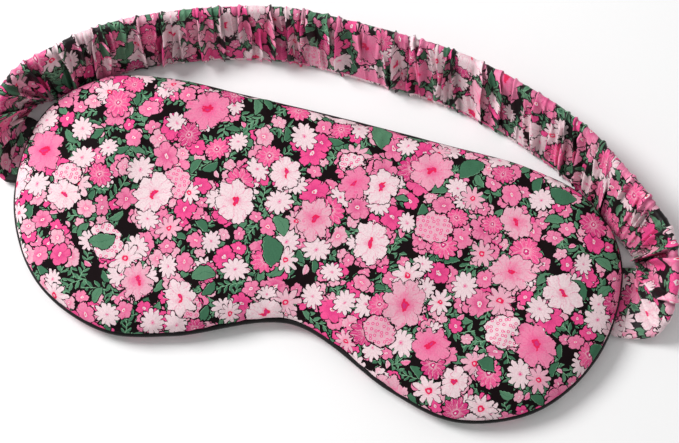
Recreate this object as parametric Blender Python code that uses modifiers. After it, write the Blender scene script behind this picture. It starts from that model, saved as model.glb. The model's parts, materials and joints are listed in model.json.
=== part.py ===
"""Padded sleep mask with black piping and a gathered elastic strap.

The mask lies on its back, face up. X runs from one strap end to the other, Y from the nose notch to the
straight top edge, Z up from the surface that it lies on. The origin is midway between the strap's two sewn
ends, on that surface. The strap lies past the top edge, leaning outwards, with its inner edge on the surface.
Left is -X and right is +X, as somebody who looks at the face sees them. Sizes are in metres.
"""

import math

import bmesh
import bpy
import numpy as np
from mathutils import Vector
from mathutils.geometry import delaunay_2d_cdt

# The mask, measured over its piping
MASK_LENGTH = 0.215
MASK_HEIGHT = 0.096
MASK_CROWN = 0.0130
FACE_SLOPE = 0.024
BACK_SLOPE = 0.010

# Cloth and wadding
SILK = 0.0006
LINING = 0.0008

# The piping: a bias strip folded round a cord, with two flaps that lie in the seam
PIPING_DIAMETER = 0.0022
PIPING_WALL = 0.0003
PIPING_CORD_DIAMETER = 0.0010
FLAP_THICKNESS = 0.0003
SEAM_ALLOWANCE = 0.0045

# Sewing thread
THREAD_DIAMETER = 0.0003
THREAD_INSET = 0.0021
END_STITCHES = 10
END_STITCH_WIDTH = 0.0016
END_STITCH_PITCH = 0.0018
END_STITCH_INSET = 0.0044

# The strap
STRAP_WIDTH = 0.024
STRAP_THICKNESS = 0.0034
STRAP_END_THICKNESS = 0.0020
STRAP_END_LENGTH = 0.0022
STRAP_END_Y = 0.0
ELASTIC_WIDTH = 0.0190
ELASTIC_THICKNESS = 0.0010

# Room between neighbours
GAP = 0.0003
PIPING_OVERHANG = 0.0004

# How finely round things are divided
OUTLINE_POINTS = 84
STRAP_STATIONS = 84
GRID_PITCH = 0.013
INNER_RINGS = ((0.004, 0), (0.010, 1))

# The mask's outline from the middle of its top edge round to the nose notch, as shares of its half length and
# of its height, counted from the line between the strap's ends
HALF_OUTLINE = (
    (0.00, 0.409),
    (0.34, 0.405),
    (0.61, 0.396),
    (0.835, 0.326),
    (0.982, 0.121),
    (0.982, -0.202),
    (0.841, -0.467),
    (0.601, -0.588),
    (0.364, -0.541),
    (0.00, -0.388),
)

# The strap's inner edge from the right end round to the left one, as shares of the mask's half length and
# height, with the way its width points: heading in the plane, and rise above it, in degrees
STRAP_ROUTE = (
    (0.968, 0.232, 64, 59),
    (0.905, 0.276, 84, 46),
    (0.785, 0.386, 96, 42),
    (0.600, 0.486, 102, 46),
    (0.340, 0.570, 106, 50),
    (0.040, 0.596, 109, 53),
    (-0.240, 0.597, 111, 57),
    (-0.485, 0.535, 113, 61),
    (-0.710, 0.438, 113, 62),
    (-0.870, 0.326, 112, 59),
    (-0.940, 0.262, 126, 62),
)

# The turn from the right end into that route, and out of it into the left end: how far the inner edge stands
# outside the strap end's inner corner, in metres, with the same heading and rise
RIGHT_TURN = (
    (0.0006, 0.0001, -78, 2),
    (0.0013, 0.0005, -62, 10),
    (0.0015, 0.0020, -40, 44),
    (0.0004, 0.0050, -6, 60),
    (-0.0020, 0.0078, 34, 61),
)
LEFT_TURN = (
    (-0.0042, 0.0114, 152, 67),
    (-0.0010, 0.0094, 192, 66),
    (0.0010, 0.0070, 228, 58),
    (0.0019, 0.0046, 248, 40),
    (0.0017, 0.0024, 258, 20),
    (0.0009, 0.0008, 265, 5),
)

PIPING_RADIUS = PIPING_DIAMETER / 2
HALF_LENGTH = MASK_LENGTH / 2
STRAP_END_Z = SILK + GAP + STRAP_END_THICKNESS / 2
SEAM_Z = STRAP_END_Z + STRAP_END_THICKNESS / 2 + GAP + PIPING_RADIUS
FLAP_FAR = GAP / 2 + FLAP_THICKNESS
FLANGE = PIPING_RADIUS + SEAM_ALLOWANCE
FRONT_RIM_Z = SEAM_Z + FLAP_FAR + GAP + THREAD_DIAMETER + GAP
BACK_RIM_Z = SEAM_Z - FLAP_FAR - GAP
TAB_END_X = HALF_LENGTH + PIPING_OVERHANG
SLEEVE_START_X = TAB_END_X + GAP + STRAP_END_LENGTH + GAP


def clear_scene():
    for thing in list(bpy.data.objects):
        bpy.data.objects.remove(thing, do_unlink=True)


def material(name, colour, roughness):
    made = bpy.data.materials.new(name)
    made.use_nodes = True
    shader = made.node_tree.nodes["Principled BSDF"]
    shader.inputs["Base Color"].default_value = (*colour, 1.0)
    shader.inputs["Roughness"].default_value = roughness
    shader.inputs["Metallic"].default_value = 0.0
    return made


def add_object(name, data, finish, collection, parent=None):
    thing = bpy.data.objects.new(name, data)
    collection.objects.link(thing)
    thing.data.materials.append(finish)
    if parent is not None:
        thing.parent = parent
        thing.matrix_parent_inverse = parent.matrix_world.inverted()
    return thing


def mesh_from(name, vertices, faces, smooth_angle=math.radians(40)):
    mesh = bpy.data.meshes.new(name)
    work = bmesh.new()
    corners = [work.verts.new(v) for v in vertices]
    for face in faces:
        work.faces.new([corners[i] for i in face])
    bmesh.ops.recalc_face_normals(work, faces=work.faces)
    work.to_mesh(mesh)
    work.free()
    mesh.shade_smooth()
    mesh.set_sharp_from_angle(angle=smooth_angle)
    return mesh


def smooth_step(low, high, value):
    share = np.clip((value - low) / (high - low), 0.0, 1.0)
    return share * share * (3 - 2 * share)


def curve_through(knots, per_span, closed):
    """A smooth curve through the knots, which may have any number of values each."""
    points = np.array(knots, float)
    count = len(points)
    made = []
    for i in range(count if closed else count - 1):
        if closed:
            a, b, c, d = (points[(i + k) % count] for k in (-1, 0, 1, 2))
        else:
            a, b, c, d = (points[min(max(i + k, 0), count - 1)] for k in (-1, 0, 1, 2))
        for step in range(per_span):
            t = step / per_span
            made.append(
                0.5 * (2 * b + (c - a) * t + (2 * a - 5 * b + 4 * c - d) * t**2 + (3 * b - a - 3 * c + d) * t**3)
            )
    if not closed:
        made.append(points[-1])
    return np.array(made)


def resample(points, count, closed):
    """Points the same distance apart, by the first three values of each, or the first two of flat ones."""
    places = points[:, : min(3, points.shape[1])]
    ring = np.vstack([points, points[:1]]) if closed else points
    spots = np.vstack([places, places[:1]]) if closed else places
    run = np.concatenate([[0.0], np.cumsum(np.linalg.norm(np.diff(spots, axis=0), axis=1))])
    wanted = np.linspace(0.0, run[-1], count, endpoint=not closed)
    return np.column_stack([np.interp(wanted, run, ring[:, k]) for k in range(ring.shape[1])])


def outline():
    """The piping's centre line: a closed, smooth, symmetric curve of the mask's length and height."""
    half = [(x * HALF_LENGTH, y * MASK_HEIGHT) for x, y in HALF_OUTLINE]
    mirrored = [(-x, y) for x, y in half[-2:0:-1]]
    curve = curve_through(half + mirrored, 24, closed=True)
    low, high = curve.min(axis=0), curve.max(axis=0)
    curve[:, 0] *= (MASK_LENGTH - PIPING_DIAMETER) / (high[0] - low[0])
    curve[:, 1] *= (MASK_HEIGHT - PIPING_DIAMETER) / (high[1] - low[1])
    return resample(curve, OUTLINE_POINTS, closed=True)


def outward(points):
    """Unit normals of a closed flat outline that runs clockwise."""
    along = np.roll(points, -1, axis=0) - np.roll(points, 1, axis=0)
    normals = np.column_stack([-along[:, 1], along[:, 0]])
    return normals / np.linalg.norm(normals, axis=1)[:, None]


EDGE = outline()
EDGE_OUT = outward(EDGE)


def inset(distance):
    return EDGE - EDGE_OUT * distance


def depth(points):
    """How far each point lies inside the piping's centre line."""
    starts, ends = EDGE, np.roll(EDGE, -1, axis=0)
    run = ends - starts
    offset = points[:, None, :] - starts[None, :, :]
    share = np.clip((offset * run).sum(axis=2) / (run * run).sum(axis=1), 0.0, 1.0)
    nearest = starts + run * share[:, :, None]
    return np.linalg.norm(points[:, None, :] - nearest, axis=2).min(axis=1)


def is_inside(points):
    """Whether each point lies inside the piping's centre line, by the edges that a ray along +X crosses."""
    x, y = points[:, 0:1], points[:, 1:2]
    ax, ay = EDGE[:, 0], EDGE[:, 1]
    bx, by = np.roll(ax, -1), np.roll(ay, -1)
    crosses = (ay > y) != (by > y)
    meets = ax + (bx - ax) * (y - ay) / np.where(by == ay, 1.0, by - ay)
    return (crosses & (x < meets)).sum(axis=1) % 2 == 1


def strap_slot(points):
    """1 where a strap end passes through the seam, falling to 0 along the edge on both sides of it."""
    away = np.abs(points[:, 1] - STRAP_END_Y)
    near_side = np.abs(points[:, 0]) > HALF_LENGTH * 0.5
    return (1 - smooth_step(STRAP_WIDTH / 2 + 0.0015, STRAP_WIDTH / 2 + 0.009, away)) * near_side


def back_top(points):
    rim = BACK_RIM_Z + (SILK - BACK_RIM_Z) * strap_slot(points)
    return rim + (SILK - rim) * smooth_step(FLANGE, FLANGE + BACK_SLOPE, depth(points))


def back_bottom(points):
    return back_top(points) - SILK


def lining_bottom(points):
    return back_top(points) + GAP


def lining_top(points):
    return lining_bottom(points) + LINING


def front_bottom(points):
    share = np.clip((depth(points) - PIPING_RADIUS - GAP) / FACE_SLOPE, 0.0, 1.0)
    return FRONT_RIM_Z + (MASK_CROWN - SILK - FRONT_RIM_Z) * (1 - (1 - share) ** 2.4)


def front_top(points):
    return front_bottom(points) + SILK


def wadding_bottom(points):
    return lining_top(points) + GAP


def wadding_top(points):
    return front_bottom(points) - GAP


def filling_plan():
    """Flat places and triangles inside the seam allowance. Its first places are the ring next to the seam."""
    rim = inset(FLANGE + GAP)
    inner = [inset(FLANGE + GAP + step)[start::2] for step, start in INNER_RINGS]
    rows = np.arange(-MASK_HEIGHT, MASK_HEIGHT, GRID_PITCH)
    columns = np.arange(-HALF_LENGTH, HALF_LENGTH, GRID_PITCH)
    grid = np.array([(x, y) for y in rows for x in columns])
    grid = grid[is_inside(grid) & (depth(grid) > FLANGE + GRID_PITCH * 1.2)]
    places = np.vstack([rim, *inner, grid])
    edges = [(i, (i + 1) % OUTLINE_POINTS) for i in range(OUTLINE_POINTS)]
    triangles = delaunay_2d_cdt([Vector(p) for p in places], edges, [], 1, 1e-7)[2]
    return places, [tuple(t) for t in triangles]


def layer(name, rim_insets, bottom, top, finish, collection):
    """A sheet or pad between two height functions, over the filling's plan and the given rings outside it."""
    places, triangles = filling_plan()
    rings = [inset(distance) for distance in rim_insets]
    shift = OUTLINE_POINTS * len(rings)
    places = np.vstack([*rings, places])
    flat = [tuple(shift + i for i in t) for t in triangles]
    for r in range(len(rings)):
        here, there = r * OUTLINE_POINTS, (r + 1) * OUTLINE_POINTS
        for i in range(OUTLINE_POINTS):
            k = (i + 1) % OUTLINE_POINTS
            flat.append((here + i, there + i, there + k, here + k))
    total = len(places)
    vertices = np.vstack([np.column_stack([places, top(places)]), np.column_stack([places, bottom(places)])])
    faces = flat + [tuple(total + i for i in reversed(t)) for t in flat]
    for i in range(OUTLINE_POINTS):
        k = (i + 1) % OUTLINE_POINTS
        faces.append((i, k, total + k, total + i))
    return add_object(name, mesh_from(name, vertices, faces), finish, collection)


def arc(radius, first, last, count):
    """Points on a circle, from one angle to another, in degrees."""
    angles = np.radians(np.linspace(first, last, count))
    return [(radius * math.cos(a), radius * math.sin(a)) for a in angles]


def piping_profile():
    """The bias strip's section: a ring open towards the mask, with two flaps. X is outwards, Y is up."""
    outer, inner = PIPING_RADIUS, PIPING_RADIUS - PIPING_WALL
    slit, far = GAP / 2, FLAP_FAR
    inner_angle = 180 - math.degrees(math.asin(slit / inner))
    outer_angle = 180 - math.degrees(math.asin(far / outer))
    return (
        [(-FLANGE, slit)]
        + arc(inner, inner_angle, -inner_angle, 8)
        + [(-FLANGE, -slit), (-FLANGE, -far)]
        + arc(outer, -outer_angle, outer_angle, 10)
        + [(-FLANGE, far)]
    )


def piping_cover(finish, collection):
    profile = piping_profile()
    sections = len(profile)
    vertices = [
        (*(EDGE[i] + EDGE_OUT[i] * across), SEAM_Z + up) for i in range(OUTLINE_POINTS) for across, up in profile
    ]
    faces = []
    for i in range(OUTLINE_POINTS):
        here, there = i * sections, (i + 1) % OUTLINE_POINTS * sections
        for j in range(sections):
            k = (j + 1) % sections
            faces.append((here + j, here + k, there + k, there + j))
    return add_object("piping_cover", mesh_from("piping_cover", vertices, faces), finish, collection)


def closed_tube(name, points, height, diameter, bevel_resolution, finish, collection):
    """A cord or thread that follows a closed flat line at one height."""
    curve = bpy.data.curves.new(name, "CURVE")
    curve.dimensions = "3D"
    curve.bevel_depth = diameter / 2
    curve.bevel_resolution = bevel_resolution
    spline = curve.splines.new("POLY")
    spline.points.add(len(points) - 1)
    for spot, (x, y) in zip(spline.points, points):
        spot.co = (x, y, height, 1.0)
    spline.use_cyclic_u = True
    return add_object(name, curve, finish, collection)


def box(name, low, high, bevel, finish, collection, parent=None):
    """A block between two corners, with its edges rounded."""
    work = bmesh.new()
    bmesh.ops.create_cube(work, size=1.0)
    low, high = np.array(low), np.array(high)
    for v in work.verts:
        v.co = (low + high) / 2 + np.array(v.co) * (high - low)
    mesh = bpy.data.meshes.new(name)
    work.to_mesh(mesh)
    work.free()
    thing = add_object(name, mesh, finish, collection, parent)
    rounding = thing.modifiers.new("rounding", "BEVEL")
    rounding.width = bevel
    rounding.segments = 2
    return thing


def seam_tab(name, side, finish, collection):
    """The stretch of a strap end that is caught in the seam, under the piping."""
    inner = side * (HALF_LENGTH - PIPING_RADIUS - FLANGE)
    outer = side * TAB_END_X
    half = np.array([0.0, STRAP_WIDTH / 2, STRAP_END_THICKNESS / 2])
    low = np.array([min(inner, outer), STRAP_END_Y, STRAP_END_Z]) - half
    high = np.array([max(inner, outer), STRAP_END_Y, STRAP_END_Z]) + half
    return box(name, low, high, 0.0003, finish, collection)


def strap_end(name, side, finish, collection, parent):
    """The flat, ungathered stretch of a strap end just outside the mask's edge."""
    inner = side * (TAB_END_X + GAP)
    outer = side * (SLEEVE_START_X - GAP)
    half = np.array([0.0, STRAP_WIDTH / 2, STRAP_END_THICKNESS / 2])
    low = np.array([min(inner, outer), STRAP_END_Y, STRAP_END_Z]) - half
    high = np.array([max(inner, outer), STRAP_END_Y, STRAP_END_Z]) + half
    return box(name, low, high, 0.0005, finish, collection, parent)


def end_stitches(name, side, finish, collection):
    """The zigzag stitch that holds the elastic and the sleeve's end together, inside the seam: one thread."""
    curve = bpy.data.curves.new(name, "CURVE")
    curve.dimensions = "3D"
    curve.bevel_depth = THREAD_DIAMETER / 2
    curve.bevel_resolution = 1
    curve.use_fill_caps = True
    spline = curve.splines.new("POLY")
    spline.points.add(END_STITCHES)
    height = STRAP_END_Z + STRAP_END_THICKNESS / 2 + GAP + THREAD_DIAMETER / 2
    across = side * (HALF_LENGTH - PIPING_RADIUS - END_STITCH_INSET)
    for i, spot in enumerate(spline.points):
        swing = END_STITCH_WIDTH / 2 * (-1) ** i
        along = STRAP_END_Y + (i - END_STITCHES / 2) * END_STITCH_PITCH
        spot.co = (across + swing, along, height, 1.0)
    return add_object(name, curve, finish, collection)


def strap_line():
    """Stations along the strap: the inner edge's place, the way the width points, and the ribbon's normal."""
    corner_x, corner_y = SLEEVE_START_X, STRAP_END_Y + STRAP_WIDTH / 2
    edge_z = STRAP_THICKNESS / 2
    reach = STRAP_THICKNESS / 2
    knots = [(corner_x, corner_y - reach, STRAP_END_Z, -90, 0)]
    knots += [(corner_x + x, corner_y - reach + y, edge_z, h, r) for x, y, h, r in RIGHT_TURN]
    knots += [(x * HALF_LENGTH, y * MASK_HEIGHT, edge_z, h, r) for x, y, h, r in STRAP_ROUTE]
    knots += [(-corner_x - x, corner_y - reach + y, edge_z, h, r) for x, y, h, r in LEFT_TURN]
    knots += [(-corner_x, corner_y - reach, STRAP_END_Z, 270, 0)]
    dense = curve_through(knots, 16, closed=False)
    heading, rise = np.radians(dense[:, 3]), np.radians(dense[:, 4])
    width = np.column_stack([np.cos(heading) * np.cos(rise), np.sin(heading) * np.cos(rise), np.sin(rise)])
    middle = dense[:, :3] + width * (STRAP_WIDTH / 2 - reach)
    even = resample(np.hstack([middle, width]), STRAP_STATIONS, closed=False)
    middle, width = even[:, :3], even[:, 3:]
    width = width / np.linalg.norm(width, axis=1)[:, None]
    along = np.gradient(middle, axis=0)
    along[0] = along[-1] = (1.0, 0.0, 0.0)
    normal = np.cross(along, width)
    normal = normal / np.linalg.norm(normal, axis=1)[:, None]
    return middle, width, normal


def ribbon_section(width, thickness, round_points):
    """A stadium across the ribbon: X along its width, Y along its normal."""
    radius = thickness / 2
    straight = width / 2 - radius
    right = [(x + straight, y) for x, y in arc(radius, -90, 90, round_points)]
    left = [(x - straight, y) for x, y in arc(radius, 90, 270, round_points)]
    return right + left


def ribbon_rings(section):
    middle, width, normal = strap_line()
    return [
        [tuple(middle[i] + width[i] * across + normal[i] * up) for across, up in section]
        for i in range(STRAP_STATIONS)
    ]


def wall_faces(first, count, rings):
    """Triangles between sections, all split the same way, so that nested walls twist alike."""
    faces = []
    for i in range(rings - 1):
        here, there = first + i * count, first + (i + 1) * count
        for j in range(count):
            k = (j + 1) % count
            faces.append((here + j, here + k, there + k))
            faces.append((here + j, there + k, there + j))
    return faces


def strap_sleeve(finish, collection, parent):
    """The gathered silk sleeve, open at both ends, with room for the elastic."""
    round_points = 5
    outer = ribbon_rings(ribbon_section(STRAP_WIDTH, STRAP_THICKNESS, round_points))
    hollow = ELASTIC_THICKNESS + 2 * GAP
    inner = ribbon_rings(ribbon_section(ELASTIC_WIDTH + 2 * GAP + hollow, hollow, round_points))
    count = 2 * round_points
    vertices = [p for ring in outer for p in ring] + [p for ring in inner for p in ring]
    shift = STRAP_STATIONS * count
    faces = wall_faces(0, count, STRAP_STATIONS)
    faces += [tuple(reversed(f)) for f in wall_faces(shift, count, STRAP_STATIONS)]
    last = (STRAP_STATIONS - 1) * count
    for j in range(count):
        k = (j + 1) % count
        faces.append((j, shift + j, shift + k, k))
        faces.append((last + k, shift + last + k, shift + last + j, last + j))
    mesh = mesh_from("strap_sleeve", vertices, faces)
    return add_object("strap_sleeve", mesh, finish, collection, parent)


def strap_elastic(finish, collection, parent):
    """The flat elastic band inside the sleeve."""
    half_width, half_thickness = ELASTIC_WIDTH / 2, ELASTIC_THICKNESS / 2
    section = [
        (half_width, -half_thickness),
        (half_width, half_thickness),
        (-half_width, half_thickness),
        (-half_width, -half_thickness),
    ]
    rings = ribbon_rings(section)
    vertices = [p for ring in rings for p in ring]
    last = (STRAP_STATIONS - 1) * len(section)
    faces = wall_faces(0, len(section), STRAP_STATIONS)
    faces += [(3, 2, 1, 0), (last, last + 1, last + 2, last + 3)]
    mesh = mesh_from("strap_elastic", vertices, faces)
    return add_object("strap_elastic", mesh, finish, collection, parent)


def pivot_at(name, place, collection):
    """An empty on a joint's axis, which the moving pieces are parented to."""
    pivot = bpy.data.objects.new(name, None)
    pivot.location = place
    collection.objects.link(pivot)
    bpy.context.view_layer.update()
    return pivot


def main():
    clear_scene()
    collection = bpy.data.collections.new("sleep_mask")
    bpy.context.scene.collection.children.link(collection)

    silk = material("printed_silk", (0.72, 0.28, 0.42), 0.45)
    satin = material("black_satin", (0.012, 0.011, 0.013), 0.40)
    cotton = material("black_cotton", (0.02, 0.02, 0.022), 0.85)
    fill = material("white_wadding", (0.85, 0.85, 0.83), 0.95)
    cord = material("white_cord", (0.80, 0.78, 0.74), 0.80)
    thread = material("black_thread", (0.02, 0.02, 0.02), 0.60)
    elastic = material("white_elastic", (0.86, 0.85, 0.82), 0.70)

    panel_rings = (PIPING_RADIUS + GAP, (PIPING_RADIUS + FLANGE) / 2)
    layer("back_panel", panel_rings, back_bottom, back_top, silk, collection)
    layer("blackout_lining", (), lining_bottom, lining_top, cotton, collection)
    layer("wadding", (), wadding_bottom, wadding_top, fill, collection)
    layer("front_panel", panel_rings, front_bottom, front_top, silk, collection)

    piping_cover(satin, collection)
    closed_tube("piping_cord", EDGE, SEAM_Z, PIPING_CORD_DIAMETER, 1, cord, collection)
    thread_z = SEAM_Z + FLAP_FAR + GAP + THREAD_DIAMETER / 2
    closed_tube("seam_thread", inset(THREAD_INSET), thread_z, THREAD_DIAMETER, 1, thread, collection)

    swing = pivot_at("strap_swing_pivot", (0.0, STRAP_END_Y, STRAP_END_Z), collection)
    for side, label in ((-1, "left"), (1, "right")):
        seam_tab(f"{label}_seam_tab", side, silk, collection)
        end_stitches(f"{label}_end_stitches", side, thread, collection)
        strap_end(f"{label}_strap_end", side, silk, collection, swing)
    strap_sleeve(silk, collection, swing)
    strap_elastic(elastic, collection, swing)


if __name__ == "__main__":
    main()
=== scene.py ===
"""Padded sleep mask in flower-printed silk with black piping and a gathered elastic strap.

It is laid out as an add-on and run as a script. X runs from one strap end to the other, Y from the nose notch
to the straight top edge, Z up from the surface that the mask lies on. Left is -X. Sizes are in metres.
"""

import json
import math
from functools import partialmethod

import bpy
import numpy as np
from bpy.props import FloatProperty, FloatVectorProperty, IntProperty, PointerProperty
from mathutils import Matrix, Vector
from mathutils.geometry import delaunay_2d_cdt


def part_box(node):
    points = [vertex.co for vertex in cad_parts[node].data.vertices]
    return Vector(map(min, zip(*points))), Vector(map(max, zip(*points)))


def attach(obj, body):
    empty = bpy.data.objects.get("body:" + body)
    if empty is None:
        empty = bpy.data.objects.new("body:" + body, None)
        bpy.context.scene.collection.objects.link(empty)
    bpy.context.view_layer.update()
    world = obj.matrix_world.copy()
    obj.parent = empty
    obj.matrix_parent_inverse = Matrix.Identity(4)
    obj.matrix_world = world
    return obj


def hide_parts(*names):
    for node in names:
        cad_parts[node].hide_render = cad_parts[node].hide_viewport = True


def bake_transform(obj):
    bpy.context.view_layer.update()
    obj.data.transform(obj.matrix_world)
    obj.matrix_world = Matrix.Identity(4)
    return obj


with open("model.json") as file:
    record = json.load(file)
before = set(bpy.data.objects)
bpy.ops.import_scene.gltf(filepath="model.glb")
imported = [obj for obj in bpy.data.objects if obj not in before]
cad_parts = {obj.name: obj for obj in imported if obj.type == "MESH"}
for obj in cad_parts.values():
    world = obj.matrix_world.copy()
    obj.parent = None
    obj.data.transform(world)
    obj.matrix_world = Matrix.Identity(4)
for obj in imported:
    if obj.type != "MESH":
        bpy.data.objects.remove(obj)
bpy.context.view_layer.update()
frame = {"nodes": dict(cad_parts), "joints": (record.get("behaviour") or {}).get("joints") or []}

bl_info = {
    "name": "Padded Sleep Mask",
    "version": (1, 0, 0),
    "blender": (4, 5, 0),
    "location": "View3D > Sidebar > Sleep Mask",
    "description": "Builds a padded silk sleep mask with piping and a gathered strap",
    "category": "Object",
}

MM = 0.001

# Sizes that the frame gives
PIPING_LOW, PIPING_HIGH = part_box("piping_cover")
CORD_LOW, CORD_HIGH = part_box("piping_cord")
END_LOW, END_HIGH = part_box("right_strap_end")
TAB_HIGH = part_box("right_seam_tab")[1]
MASK_LENGTH = PIPING_HIGH.x - PIPING_LOW.x
MASK_HEIGHT = PIPING_HIGH.y - PIPING_LOW.y
PIPING_DIAMETER = PIPING_HIGH.z - PIPING_LOW.z
PIPING_RADIUS = PIPING_DIAMETER / 2
CORD_DIAMETER = CORD_HIGH.z - CORD_LOW.z
SEAM_Z = (PIPING_HIGH.z + PIPING_LOW.z) / 2
HALF_LENGTH = MASK_LENGTH / 2
STRAP_WIDTH = END_HIGH.y - END_LOW.y
STRAP_END_Y = (END_HIGH.y + END_LOW.y) / 2
STRAP_END_Z = (END_HIGH.z + END_LOW.z) / 2
STRAP_END_THICKNESS = END_HIGH.z - END_LOW.z
GAP = END_LOW.x - TAB_HIGH.x
SLEEVE_START_X = END_HIGH.x + GAP
SWING_Z = frame["joints"][0]["pos_m"][2]

STRAP_THICKNESS = 3.4 * MM
ELASTIC_WIDTH = 19.0 * MM
ELASTIC_THICKNESS = 1.0 * MM
SEAM_ALLOWANCE = 4.5 * MM
FLANGE = PIPING_RADIUS + SEAM_ALLOWANCE
SLEEVE_CLOTH = 0.18 * MM
# How many points are looked up at once
CHUNK = 1500

# The mask's outline from the middle of its top edge round to the nose notch, as shares of its half length and
# of its height, counted from the line between the strap's ends
HALF_OUTLINE = (
    (0.00, 0.409),
    (0.34, 0.405),
    (0.61, 0.396),
    (0.835, 0.326),
    (0.982, 0.121),
    (0.982, -0.202),
    (0.841, -0.467),
    (0.601, -0.588),
    (0.364, -0.541),
    (0.00, -0.388),
)

# The strap's inner edge from the right end round to the left one, as shares of the mask's half length and
# height, with the way its width points: heading in the plane, and rise above it, in degrees
STRAP_ROUTE = (
    (0.968, 0.232, 64, 59),
    (0.905, 0.276, 84, 46),
    (0.785, 0.386, 96, 42),
    (0.600, 0.486, 102, 46),
    (0.340, 0.570, 106, 50),
    (0.040, 0.596, 109, 53),
    (-0.240, 0.597, 111, 57),
    (-0.485, 0.535, 113, 61),
    (-0.705, 0.438, 113, 62),
    (-0.852, 0.330, 112, 59),
    (-0.918, 0.262, 126, 62),
)

# The turn from the right end into that route, and out of it into the left end: how far the inner edge stands
# outside the strap end's inner corner, in metres, with the same heading and rise
RIGHT_TURN = (
    (0.0006, 0.0001, -78, 2),
    (0.0013, 0.0005, -62, 10),
    (0.0015, 0.0020, -40, 44),
    (0.0004, 0.0050, -6, 60),
    (-0.0020, 0.0078, 34, 61),
)
LEFT_TURN = (
    (-0.0062, 0.0114, 152, 67),
    (-0.0028, 0.0094, 192, 66),
    (-0.0006, 0.0070, 228, 58),
    (0.0006, 0.0046, 248, 40),
    (0.0009, 0.0024, 258, 20),
    (0.0006, 0.0008, 265, 5),
)

# How the face cloth leaves the seam and swells over the piping: the cloth's place in the flat pattern,
# counted inwards from the piping's centre line, then where it comes to lie, inwards and above the seam. All
# three are in millimetres.
FACE_SWELL = (
    (1.15, 1.15, 0.35),
    (1.6, 0.85, 0.95),
    (2.1, 0.42, 1.40),
    (2.6, 0.08, 1.85),
    (3.1, 0.00, 2.35),
    (3.7, 0.22, 3.00),
    (4.5, 0.85, 3.80),
    (5.7, 2.10, 4.75),
    (7.6, 4.40, 5.85),
    (10.4, 8.00, 6.95),
    (14.5, 13.2, 7.85),
    (20.0, 19.5, 8.40),
    (28.0, 28.0, 8.70),
)
# The same for the back cloth, below the seam
BACK_SWELL = (
    (1.15, 1.15, -0.35),
    (1.9, 0.85, -1.00),
    (2.6, 0.75, -1.70),
    (3.5, 1.30, -2.55),
    (5.0, 2.90, -3.25),
    (8.0, 6.40, -3.85),
    (12.0, 11.3, -4.12),
    (18.0, 18.0, -4.24),
    (28.0, 28.0, -4.24),
)

# Colours of the print and of the other materials, as linear red, green and blue
GROUND = (0.007, 0.003, 0.004)
OFF_WHITE = (0.86, 0.68, 0.71)
PALE_PINK = (0.82, 0.43, 0.53)
MID_PINK = (0.84, 0.235, 0.40)
HOT_PINK = (0.87, 0.085, 0.285)
DEEP_PINK = (0.66, 0.035, 0.20)
CRIMSON = (0.82, 0.018, 0.10)
GREEN = (0.095, 0.235, 0.135)
DARK_GREEN = (0.052, 0.160, 0.088)
LIGHT_GREEN = (0.20, 0.42, 0.25)


# Properties


class PrintSettings(bpy.types.PropertyGroup):
    scale: FloatProperty(
        name="Print scale",
        description="Size of the flowers, 1 being their usual size",
        default=1.0,
        min=0.3,
        max=3.0,
    )
    ground: FloatVectorProperty(
        name="Ground",
        description="Colour of the cloth between the flowers",
        default=GROUND,
        subtype="COLOR",
    )
    hot_pink: FloatVectorProperty(
        name="Hot pink",
        description="Colour of the strongest flowers",
        default=HOT_PINK,
        subtype="COLOR",
    )
    green: FloatVectorProperty(
        name="Green",
        description="Colour of the leaves",
        default=GREEN,
        subtype="COLOR",
    )


class FaceSettings(bpy.types.PropertyGroup):
    pitch: FloatProperty(
        name="Mesh pitch",
        description="Distance between the cloth's points",
        default=1.9 * MM,
        unit="LENGTH",
    )
    pucker: FloatProperty(
        name="Pucker height",
        description="Height of the creases next to the seam",
        default=0.22 * MM,
        unit="LENGTH",
    )
    lumps: FloatProperty(
        name="Wadding lumps",
        description="Height of the slow unevenness",
        default=0.30 * MM,
        unit="LENGTH",
    )
    cloth: FloatProperty(
        name="Cloth thickness",
        description="Thickness of the silk panels",
        default=0.25 * MM,
        unit="LENGTH",
    )


class StrapSettings(bpy.types.PropertyGroup):
    folds: IntProperty(
        name="Folds",
        description="Main folds along the strap",
        default=56,
        min=4,
    )
    small_folds: IntProperty(
        name="Small folds",
        description="Slight folds between the main ones",
        default=95,
        min=0,
    )
    fold_height: FloatProperty(
        name="Fold height",
        description="Height of a usual fold's crest",
        default=4.7 * MM,
        unit="LENGTH",
    )
    fold_width: FloatProperty(
        name="Fold width",
        description="Half width of a usual fold's crest",
        default=0.60 * MM,
        unit="LENGTH",
    )
    stations: IntProperty(
        name="Stations",
        description="Sections along the strap",
        default=1000,
        min=50,
    )
    seed: IntProperty(
        name="Seed",
        description="Fixes the random draw of the folds",
        default=7,
    )


class StitchSettings(bpy.types.PropertyGroup):
    length: FloatProperty(
        name="Stitch length",
        description="Length of one stitch",
        default=2.2 * MM,
        unit="LENGTH",
    )
    spacing: FloatProperty(
        name="Spacing",
        description="From the start of one stitch to the start of the next",
        default=2.7 * MM,
        unit="LENGTH",
    )
    thickness: FloatProperty(
        name="Thread",
        description="Thickness of the thread",
        default=0.3 * MM,
        unit="LENGTH",
    )


class StageSettings(bpy.types.PropertyGroup):
    key_power: FloatProperty(
        name="Key light",
        description="Power of the large light",
        default=11.8,
        unit="POWER",
    )
    fill: FloatProperty(
        name="Fill",
        description="Strength of the light from all round",
        default=0.48,
    )
    lens: FloatProperty(
        name="Lens",
        description="Focal length in millimetres",
        default=131.0,
    )


# Curves and sections


def smooth_step(low, high, value):
    """0 up to low and 1 from high on, with a smooth rise between them."""
    share = np.clip((value - low) / (high - low), 0.0, 1.0)
    return share * share * (3 - 2 * share)


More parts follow.
